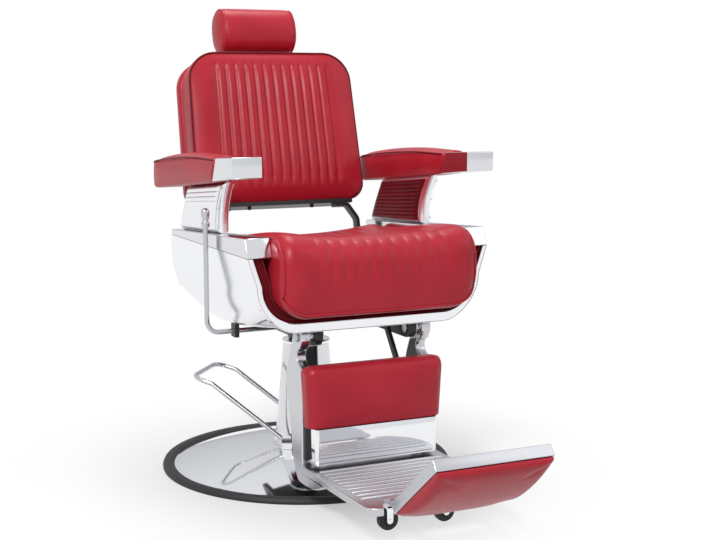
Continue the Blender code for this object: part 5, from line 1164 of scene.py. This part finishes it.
def make_arm_pad(side, sign):
    """Pad along Y on the arm: section by section a flat underside, upright sides and a crowned top, closed by
    a round nose at the rear and cut off by the slanted joint with the cap in front."""
    front = ARM_PAD_FRONT
    nose = 1 - ARM_PAD_NOSE
    rounded = ARM_PAD_NOSE + nose * np.sin(quarter(16)[1:])
    share = np.concatenate([np.linspace(0, ARM_PAD_NOSE, 44), rounded])[:, None]
    y = front + (ARM_PAD_REAR - front) * share
    close = np.sqrt(np.maximum(1e-4, 1 - np.clip((share - ARM_PAD_NOSE) / nose, 0, 1) ** 2.4))
    base = pad_base(y)
    top = SEAT_BASE + 0.361 - 0.030 * np.clip((share - 0.2) / 0.8, 0, 1) ** 1.6
    wide = ARM_WIDTH / 2 * close
    round_top = 0.013 * close
    round_low = 0.008 * close
    rise = top - base
    middle = base + rise / 2
    base = base + (1 - close) * rise * 0.30
    top = top - (1 - close) * rise * 0.30
    crown = 5 * MM * close
    brow = top - crown

    angle = quarter(8)[None]
    place = np.linspace(0, 1, 8)[None, 1:-1]
    right = (wide - round_top + round_top * np.sin(angle), brow - round_top * (1 - np.cos(angle)))
    down = (wide + 1.2 * MM * close * np.sin(np.pi * place),
            (brow - round_top) + (base + round_low - brow + round_top) * place)
    under = (wide - round_low + round_low * np.cos(angle), base + round_low * (1 - np.sin(angle)))
    below = ((wide - round_low) * (1 - 2 * place), base + 0 * place)
    left = [(-run_x[:, ::-1], run_z[:, ::-1]) for run_x, run_z in (under, down, right)]
    place = np.linspace(-1, 1, 16)[None, 1:-1]
    over = ((wide - round_top) * place, brow + crown * (1 - place ** 2))
    across, height = ring_of(len(y), (right, down, under, below, *left, over))
    rake = ARM_PAD_RAKE * (height - middle) / (rise / 2) * np.clip(1 - share * 5, 0, 1)
    points = np.stack([sign * (ARM_INSIDE + ARM_WIDTH / 2 + across), y - rake, height], -1)
    item = piece(side + "_arm_cover", sleeve(points, True), "seat", "red_leatherette",
                 [side + "_arm_pad"], SOFT_CREASE)
    place = places(item.data)
    held = (place[:, 1] < front + 16 * MM) | (place[:, 2] < pad_base(place[:, 1]) + 9 * MM)
    swell(item, held, 2.5, 2.5 * MM)
    smooth_cover(item)

    seams = []
    for column, way in ((4, 1), (45, -1)):
        seam = points[2:-3, column] + (sign * way * 1.2 * MM, 0, 1.2 * MM)
        seams.append(tube(seam, THIN_WELT, 10))
    # The welts take the dark red panel finish: their darker red is painted shade along the seams of the pad.
    piece(side + "_arm_welts", joined(*seams), "seat", "dark_red_panel", (), SOFT_CREASE)


LEG_FRONT = -0.345
CALF_REAR = LEG_FRONT - 10.6 * MM
CALF_TOP = SEAT_BASE - 0.083
CALF_BOTTOM = SEAT_BASE - 0.2185
CALF_HALF_WIDTH = 0.166
CALF_CROWN = 10 * MM
PAD_RIM = 0.14


def pad_rows():
    """Places across a pad as a column of shares from -1 to 1, closer together in its round rims, and how far
    the rim closes the pad there: the root of one minus the square of the way into the rim."""
    inside = 1 - PAD_RIM
    edge = inside + PAD_RIM * np.sin(quarter(12))
    share = np.concatenate([-edge[::-1], np.linspace(-inside, inside, 44)[1:-1], edge])[:, None]
    into = np.clip((np.abs(share) - inside) / PAD_RIM, 0, 1)
    return share, np.sqrt(np.maximum(0, 1 - into ** 2))


def make_calf():
    """Pad with a flat back, square foot and a round upper edge; its front is crowned both ways, by the power
    0.8 of a sine wave upwards and one minus the fourth power of the share across."""
    share, close = pad_rows()
    height = CALF_TOP - CALF_BOTTOM
    front = CALF_REAR - 0.040 + (1 - close) * 18 * MM
    crown = CALF_CROWN * (1 - share ** 4)
    top = CALF_TOP - (1 - close) * 14 * MM
    bend = 18 * MM
    foot = 5 * MM
    place = np.linspace(0, 1, 6)[None]
    under = (CALF_REAR + (front + foot - CALF_REAR) * place, CALF_BOTTOM + 0 * place)
    angle = quarter(6)[None, 1:]
    toe = (front + foot - foot * np.sin(angle), CALF_BOTTOM + foot * (1 - np.cos(angle)))
    place = np.linspace(0, 1, 26)[None, 1:]
    rise = CALF_BOTTOM + foot + (top - bend - CALF_BOTTOM - foot) * place
    face = (front - crown * np.sin(np.pi * (rise - CALF_BOTTOM) / height) ** 0.8, rise)
    start = front - crown * np.sin(np.pi * (top - bend - CALF_BOTTOM) / height) ** 0.8
    angle = quarter(10)[None, 1:]
    brow = (start + bend * (1 - np.cos(angle)), top - bend + bend * np.sin(angle))
    place = np.linspace(0, 1, 6)[None, 1:]
    cap = (start + bend + (CALF_REAR - start - bend) * place, top - 2 * MM * place)
    place = np.linspace(0, 1, 10)[None, 1:-1]
    rear = (CALF_REAR + 0 * place, top - 2 * MM + (CALF_BOTTOM - top + 2 * MM) * place)
    y, z = ring_of(len(share), (under, toe, face, brow, cap, rear))
    x = share * (CALF_HALF_WIDTH - 8 * MM * (CALF_TOP - z) / height)
    rings = closed_ends(np.stack([x, y, z], -1), 0.5 * MM)
    item = piece("calf_cover", sleeve(rings), "legrest", "red_leatherette", ["calf_pad"], SOFT_CREASE)
    place = places(item.data)
    held = (place[:, 1] > CALF_REAR - 22 * MM) | (place[:, 2] < CALF_BOTTOM + 9 * MM)
    swell(item, held, 2.5, 2.5 * MM)
    smooth_cover(item)


FLIP_HALF_WIDTH = 0.128
FLIP_START = 12 * MM
FLIP_LENGTH = 0.222
FLIP_BACK = -2 * MM
FLIP_FRONT = FLIP_BACK + 24.5 * MM
FLIP_CORNER = 60 * MM
FLIP_BORDER = 3 * MM
HINGE_EYE = 8.5 * MM


def make_flip():
    """Chrome tray with two hinge knuckles, and a pad on its face, crowned by the power 0.6 of a sine wave and
    thinned at the two corners beside the hinge."""
    outline = fillet(((-FLIP_HALF_WIDTH, FLIP_START, 2 * MM), (FLIP_HALF_WIDTH, FLIP_START, 2 * MM),
                      (FLIP_HALF_WIDTH, FLIP_LENGTH, 2 * MM), (-FLIP_HALF_WIDTH, FLIP_LENGTH, 2 * MM)))
    shapes = [laid(slab(outline, FLIP_BACK, FLIP_FRONT, 1.4 * MM), on_flip)]
    reach = FLIP_START + 2 * MM
    knuckle = np.concatenate([arc((0, 0), HINGE_EYE, 90, 270, 16), [(reach, -1.5 * MM), (reach, HINGE_EYE)]])
    for _, sign in SIDES:
        shapes.append(laid(side_plate(sign, knuckle, 96.3 * MM, 112.3 * MM, 0.8 * MM), on_flip))
    piece("footrest_tray", joined(*shapes), "flip", "chrome", ["flip_tray"], finish=SHADED_CHROME_ROD)

    share, close = pad_rows()
    back = FLIP_FRONT + FIT
    low = FLIP_START + FLIP_BORDER
    length = FLIP_LENGTH - FLIP_START - 2 * FLIP_BORDER
    half = FLIP_HALF_WIDTH - FLIP_BORDER
    face = back + 10 * MM * (0.3 + 0.7 * close)
    crown = 16 * MM * (0.6 + 0.4 * close) * (1 - 0.1 * share ** 2)
    bend = 3.5 * MM
    start = face + crown * np.sin(np.pi * 0.02) ** 0.6
    drop = (start - back) * 0.6
    place = np.linspace(0, 1, 40)[None]
    over = (low + bend + (length - 2 * bend) * place,
            face + crown * np.sin(np.pi * (0.02 + 0.96 * place)) ** 0.6)
    angle = quarter(7)[None, 1:]
    end = (low + length - bend + bend * np.sin(angle), start - drop * (1 - np.cos(angle)))
    place = np.linspace(0, 1, 4)[None, 1:]
    far_wall = (low + length + 0 * place, (start - drop) + (back - start + drop) * place)
    near_wall = (low + 0 * place, back + (start - drop - back) * place)
    place = np.linspace(0, 1, 14)[None, 1:]
    rear = (low + length * (1 - place), back + 0 * place)
    angle = quarter(7)[None, -2:0:-1]
    toe = (low + bend * (1 - np.sin(angle)), start - drop * (1 - np.cos(angle)))
    up, out = ring_of(len(share), (over, end, far_wall, rear, near_wall, toe))
    x = share * half + 0 * up
    near_hinge = np.clip(1 - (up - low) / FLIP_CORNER, 0, 1) ** 2
    near_side = np.clip(1 - (half - np.abs(x)) / FLIP_CORNER, 0, 1) ** 2
    out = back + (out - back) * (1 - 0.75 * near_hinge * near_side)
    rings = closed_ends(np.stack([x, up, out], -1), 0.5 * MM)
    item = piece("footrest_cover", laid(sleeve(rings), on_flip), "flip", "red_leatherette", ["flip_pad"],
                 SOFT_CREASE)
    place = places(item.data) - (0, FLIP_HINGE_Y, FLIP_HINGE_Z)
    out = -place[:, 1] * math.sin(FLIP_TILT) - place[:, 2] * math.cos(FLIP_TILT)
    swell(item, out < back + 8 * MM, 2.0, 1.2 * MM)
    smooth_cover(item)


# Legrest castings
STEP_TOP = SEAT_BASE - 0.3055
STEP_LOW = STEP_TOP - 0.0155
STEP_RIBS = 10
STEP_PITCH = 0.0225
STEP_RIB = 4.2 * MM
STEP_RIB_HEIGHT = 2.9 * MM
KICK_SHEET = 1.5 * MM


def make_legs():
    """Cast legs, each a plate on a curved outline, and a thin black sheet on the upper inner face of each,
    which makes that face dark there.
    """
    pivot = (-0.320, SEAT_BASE - 0.028)
    throat = (LEG_FRONT + 12 * MM, pivot[1] - 43 * MM)
    toe_top = STEP_LOW - FIT
    sole = SEAT_BASE - 0.349
    shin = LEG_FRONT
    head = arc(pivot, 23 * MM, 20, 200, 20)
    neck = arc(throat, 17 * MM, 80, -60, 16)
    front = np.array(((shin, CALF_TOP - 12 * MM), (shin, toe_top)))
    toe = spline(((shin - 0.105, toe_top), (shin - 0.112, toe_top - 0.005), (shin - 0.085, toe_top - 0.018),
                  (shin - 0.045, sole + 0.001), (shin + 0.005, sole), (shin + 0.030, sole + 0.008),
                  (shin + 0.051, sole + 0.047), (shin + 0.065, sole + 0.110), (shin + 0.081, sole + 0.174),
                  (shin + 0.087, sole + 0.217), (shin + 0.080, sole + 0.252),
                  (shin + 0.064, sole + 0.288)), 8)
    outline = np.concatenate([head, neck, front, toe])
    dark_patch = np.concatenate([arc(throat, 20.5 * MM, 80, -60, 16),
                             [(shin + 0.004, CALF_TOP - 0.017), (shin + 0.004, CALF_TOP - 0.045),
                              (shin + 0.083, CALF_TOP - 0.049), (shin + 0.076, CALF_TOP - 0.014),
                              (shin + 0.060, CALF_TOP + 0.020)]])
    for side, sign in SIDES:
        piece(side + "_casting", side_plate(sign, outline, 0.135, 0.158, 3 * MM), "legrest",
              "polished_cast_aluminium", [side + "_leg"])
        # A thin black sheet that darkens the upper inner face of the leg.
        piece(side + "_leg_dark_patch", side_plate(sign, dark_patch, 0.1346, 0.1355, 0.15 * MM, 2), "legrest",
              "black_steel")


def make_step():
    """Step casting: a plate with a notch, half-round ribs across it, and two arms out to the hinge eyes.
    Above it stands the kick plate, a sheet bent round three sides."""
    wide = 0.163
    notch = 0.132
    half = ((wide, -0.3475, 4 * MM), (wide, -0.690, 27 * MM), (notch, -0.690, 3 * MM),
            (notch - 0.020, -0.643, 10 * MM))
    outline = fillet(half + tuple((-x, y, radius) for x, y, radius in half[::-1]), 8)
    shapes = [slab(outline, STEP_LOW, STEP_TOP, 1.6 * MM)]
    foot = STEP_TOP - 0.4 * MM
    angle = np.linspace(0, math.pi, 13)
    for index in range(STEP_RIBS):
        y = -0.415 - STEP_PITCH * index
        bar = np.stack([y + STEP_RIB * np.cos(angle), foot + STEP_RIB_HEIGHT * np.sin(angle)], -1)
        bar = np.concatenate([bar, [(y - STEP_RIB, STEP_TOP - 1.5 * MM),
                                    (y + STEP_RIB, STEP_TOP - 1.5 * MM)]])
        shapes.append(side_plate(1, bar, -0.147, 0.147, 0.9 * MM, 4))
    low = STEP_LOW + 2 * MM
    arm = np.concatenate([[(-0.635, low), (-0.635, foot), (FLIP_HINGE_Y + 6 * MM, foot)],
                          arc((FLIP_HINGE_Y, FLIP_HINGE_Z), HINGE_EYE, -30, 230, 20),
                          [(FLIP_HINGE_Y + 4 * MM, low)]])
    for _, sign in SIDES:
        shapes.append(side_plate(sign, arm, 0.074, 0.096, 1 * MM))
    piece("step_casting", joined(*shapes), "legrest", "polished_cast_aluminium", ["step_plate"])

    side = 0.14625
    front = CALF_REAR - 0.0405 + KICK_SHEET / 2
    path = mirrored(fillet(((side, CALF_REAR - FIT, 0), (side, front, 8 * MM), (0, front, 0)), 8, False))
    sheet = slab(strip(path, KICK_SHEET / 2), *heights("kick_plate"), 0.3 * MM, 3)
    piece("kick_sheet", sheet, "legrest", "chrome", ["kick_plate"], 40)


def make_wheels():
    """Small rollers that run round the chair as it swivels: axles along Y, a cheek before and behind each."""
    cheek_sheet = 3 * MM
    for side, _ in SIDES:
        low, high = (np.array(corner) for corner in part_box(side + "_wheel"))
        centre = (low + high) / 2
        radius = (high[2] - low[2]) / 2
        half = (high[1] - low[1]) / 2
        bore = 4.3 * MM
        section = fillet(((bore, -half + 2 * MM, 0), (radius * 0.45, -half + 2 * MM, 1 * MM),
                          (radius * 0.6, -half, 1 * MM), (radius - 0.5 * MM, -half, 3 * MM),
                          (radius, 0, 12 * MM), (radius - 0.5 * MM, half, 3 * MM),
                          (radius * 0.6, half, 1 * MM), (radius * 0.45, half - 2 * MM, 1 * MM),
                          (bore, half - 2 * MM, 0)))
        points, faces = lathe(section, 64, True)
        points = points[:, [1, 2, 0]] + centre
        piece(side + "_roller", (points, faces), side + "_wheel", "black_rubber", [side + "_wheel"])

        x, y, z = centre
        low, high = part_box(side + "_wheel_fork")
        front, rear, roof = low[1], high[1], high[2]
        cheek = np.concatenate([[(x + 8 * MM, roof - 6 * MM), (x - 8 * MM, roof - 6 * MM)],
                                arc((x, z), 7 * MM, 180, 360, 16)])
        top = fillet(((x - 9 * MM, front, 2 * MM), (x + 9 * MM, front, 2 * MM), (x + 9 * MM, rear, 2 * MM),
                      (x - 9 * MM, rear, 2 * MM)))
        shapes = [slab(top, z + radius + 4 * MM, roof, 1 * MM)]
        for start in (front, rear - cheek_sheet):
            shapes.append(across_y(slab(cheek, start, start + cheek_sheet, 0.8 * MM)))
        shapes.append(tube(((x, front - 1 * MM, z), (x, y, z), (x, rear + 1 * MM, z)), 3.9 * MM, 24))
        piece(side + "_fork", joined(*shapes), "legrest", "chrome", [side + "_wheel_fork"])


def make_lever():
    """Bent rod beside the seat with a turned knob."""
    x = -(TUB_HALF_WIDTH + 15.5 * MM)
    y = -0.148
    axis = SEAT_BASE - 36.8 * MM
    top = SEAT_BASE + 0.200
    path = fillet(((x, top, 0), (x, axis, 28 * MM), (x + 0.170, axis, 0)), 14, False)
    path = np.stack([path[:, 0], np.full(len(path), y), path[:, 1]], -1)
    piece("lever_rod", tube(path, 5.5 * MM, 24), "recline_lever", "chrome", ["recline_rod"],
          finish=SHADED_CHROME_ROD)
    wide = 9.5 * MM
    tall = 42 * MM
    profile = spline(((0.0, tall), (wide * 0.55, tall - 1 * MM), (wide * 0.92, tall - 5 * MM),
                      (wide, tall - 11 * MM), (wide * 0.88, tall * 0.52), (wide * 0.70, tall * 0.34),
                      (wide * 0.74, tall * 0.29)), 8)
    foot = fillet(((wide * 0.95, tall * 0.26, 0), (wide, tall * 0.2, 1 * MM), (wide, 0, 1 * MM), (0, 0, 0)),
                  closed=False)
    knob = moved(lathe(np.concatenate([profile, foot]), 48), (x, y, top + FIT))
    piece("lever_knob", knob, "recline_lever", "chrome", ["recline_knob"], finish=SHADED_CHROME_ROD)


def make_brackets():
    """Bent flat bars under the back, and the bolts whose heads stand out under its base bar."""
    under = -2 * FIT - 10 * MM
    half = 4.5 * MM
    foot = under - FIT - half
    head = fillet(((0, under + 1 * MM, 0), (5 * MM, under + 1 * MM, 0), (5 * MM, under - 7 * MM, 1.5 * MM),
                   (0, under - 7 * MM, 0)), closed=False)
    bolt = across_y(lathe(head, 24))
    bolts = [laid(moved(bolt, (across, 0, -22 * MM)), on_back) for across in (-0.084, 0.084)]
    piece("base_bar_bolts", joined(*bolts), "back", "black_steel")
    path = fillet(((0.140, foot, 0), (0.1765, foot, 12 * MM), (0.2005, -0.052, 20 * MM), (0.2005, -0.146, 0)),
                  8, False)
    for side, sign in SIDES:
        bar = slab(strip(path, half) * (sign, 1), -0.027, -0.003, 1.2 * MM)
        piece(side + "_back_bar", laid(bar, on_back), "back", "black_steel", [side + "_back_bracket"])


# Studio
def seen_directly(tree):
    """1 for rays from the camera and those a mirror or glass sends on, 0 for light that falls on things."""
    path = add(tree, "ShaderNodeLightPath").outputs
    shown = add(tree, "ShaderNodeMath", {0: path["Is Camera Ray"], 1: path["Is Glossy Ray"]},
                operation="MAXIMUM")
    return add(tree, "ShaderNodeMath", {0: shown.outputs[0], 1: path["Is Transmission Ray"]},
               operation="MAXIMUM").outputs[0]


def make_world():
    """Even white light, seen as white too, but mirrors see it fall off to grey away from the key."""
    world = bpy.data.worlds.new("studio")
    bpy.context.scene.world = world
    world.use_nodes = True
    tree = world.node_tree
    tree.nodes.clear()
    way = add(tree, "ShaderNodeTexCoord").outputs["Generated"]
    facing = add(tree, "ShaderNodeVectorMath", {0: way, 1: BRIGHT_SIDE},
                 operation="DOT_PRODUCT").outputs["Value"]
    share = add(tree, "ShaderNodeMapRange", {"Value": facing, "From Min": -1.0,
                                             "From Max": 1.0}).outputs["Result"]
    band = add(tree, "ShaderNodeValToRGB", {"Fac": share}, MIRRORED_ROOM).outputs["Color"]
    camera_ray = add(tree, "ShaderNodeLightPath").outputs["Is Camera Ray"]
    seen = add(tree, "ShaderNodeMix", {"Factor": camera_ray, "A": band, "B": linear("FFFFFF")},
               data_type="RGBA")
    light = add(tree, "ShaderNodeBackground", {"Color": linear("FFFFFF"), "Strength": WORLD_LIGHT})
    mirror = add(tree, "ShaderNodeBackground", {"Color": seen.outputs["Result"], "Strength": 1.0})
    mixed = add(tree, "ShaderNodeMixShader", {0: seen_directly(tree), 1: light.outputs[0],
                                              2: mirror.outputs[0]})
    add(tree, "ShaderNodeOutputWorld", {"Surface": mixed.outputs[0]})


def make_floor():
    """White paper: it takes the chair's soft shadow near the base and turns plain white further out."""
    mesh = bpy.data.meshes.new("studio_floor")
    reach = 30.0
    mesh.from_pydata([(-reach, -reach, 0), (reach, -reach, 0), (reach, reach, 0), (-reach, reach, 0)], [],
                     [(0, 1, 2, 3)])
    floor = bpy.data.objects.new("studio_floor", mesh)
    bpy.context.scene.collection.objects.link(floor)
    paper = bpy.data.materials.new("white paper sweep")
    paper.use_nodes = True
    tree = paper.node_tree
    tree.nodes.clear()
    place = add(tree, "ShaderNodeTexCoord").outputs["Object"]
    far = add(tree, "ShaderNodeVectorMath", {0: place}, operation="LENGTH").outputs["Value"]
    share = add(tree, "ShaderNodeMapRange", {"Value": far, "From Min": SHADOW_NEAR, "From Max": SHADOW_FAR,
                                             "To Min": SHADOW_LIFT},
                interpolation_type="SMOOTHSTEP").outputs["Result"]
    plain = add(tree, "ShaderNodeMath", {0: share, 1: seen_directly(tree)}, operation="MULTIPLY").outputs[0]
    tone = add(tree, "ShaderNodeMix", {"Factor": seen_directly(tree), "A": linear("CCCCCC"),
                                       "B": linear("FCFCFC")},
               data_type="RGBA").outputs["Result"]
    dull = add(tree, "ShaderNodeBsdfDiffuse", {"Color": tone})
    white = add(tree, "ShaderNodeEmission", {"Color": linear("FFFFFF"), "Strength": 1.0})
    mixed = add(tree, "ShaderNodeMixShader", {0: plain, 1: dull.outputs[0], 2: white.outputs[0]})
    add(tree, "ShaderNodeOutputMaterial", {"Surface": mixed.outputs[0]})
    mesh.materials.append(paper)


def make_lamps():
    """Square soft lamps, each turned to face the middle of the chair."""
    for name, place, size, power in LAMPS:
        lamp = bpy.data.lights.new(name, "AREA")
        lamp.shape = "SQUARE"
        lamp.size = size
        lamp.energy = power
        item = bpy.data.objects.new(name, lamp)
        bpy.context.scene.collection.objects.link(item)
        item.location = place
        way = Vector(LAMP_AIM) - Vector(place)
        item.rotation_mode = "QUATERNION"
        item.rotation_quaternion = way.to_track_quat("-Z", "Y")


def make_studio():
    """Room, floor and lamps, shown with the plain view of colours."""
    bpy.context.scene.view_settings.view_transform = "Standard"
    make_world()
    make_floor()
    make_lamps()


def make_camera():
    """Camera of the photograph: its lens is the focal length in pixels over the width, times the sensor."""
    data = bpy.data.cameras.new("camera")
    data.sensor_width = SENSOR
    data.lens = FOCAL_PIXELS / PHOTO_WIDTH * SENSOR
    item = bpy.data.objects.new("camera", data)
    bpy.context.scene.collection.objects.link(item)
    bpy.context.scene.camera = item
    item.location = CAMERA_PLACE
    item.rotation_euler = (math.pi / 2 - CAMERA_PITCH, 0, CAMERA_AZIMUTH)


make_studio()
make_camera()
finish_frame()
make_base()
make_pump()
make_pedal()
make_tub()
for arm_side, arm_sign in SIDES:
    make_arm(arm_side, arm_sign)
    make_arm_pad(arm_side, arm_sign)
make_seat()
make_back()
make_headrest()
make_legs()
make_step()
make_calf()
make_flip()
make_wheels()
make_lever()
make_brackets()
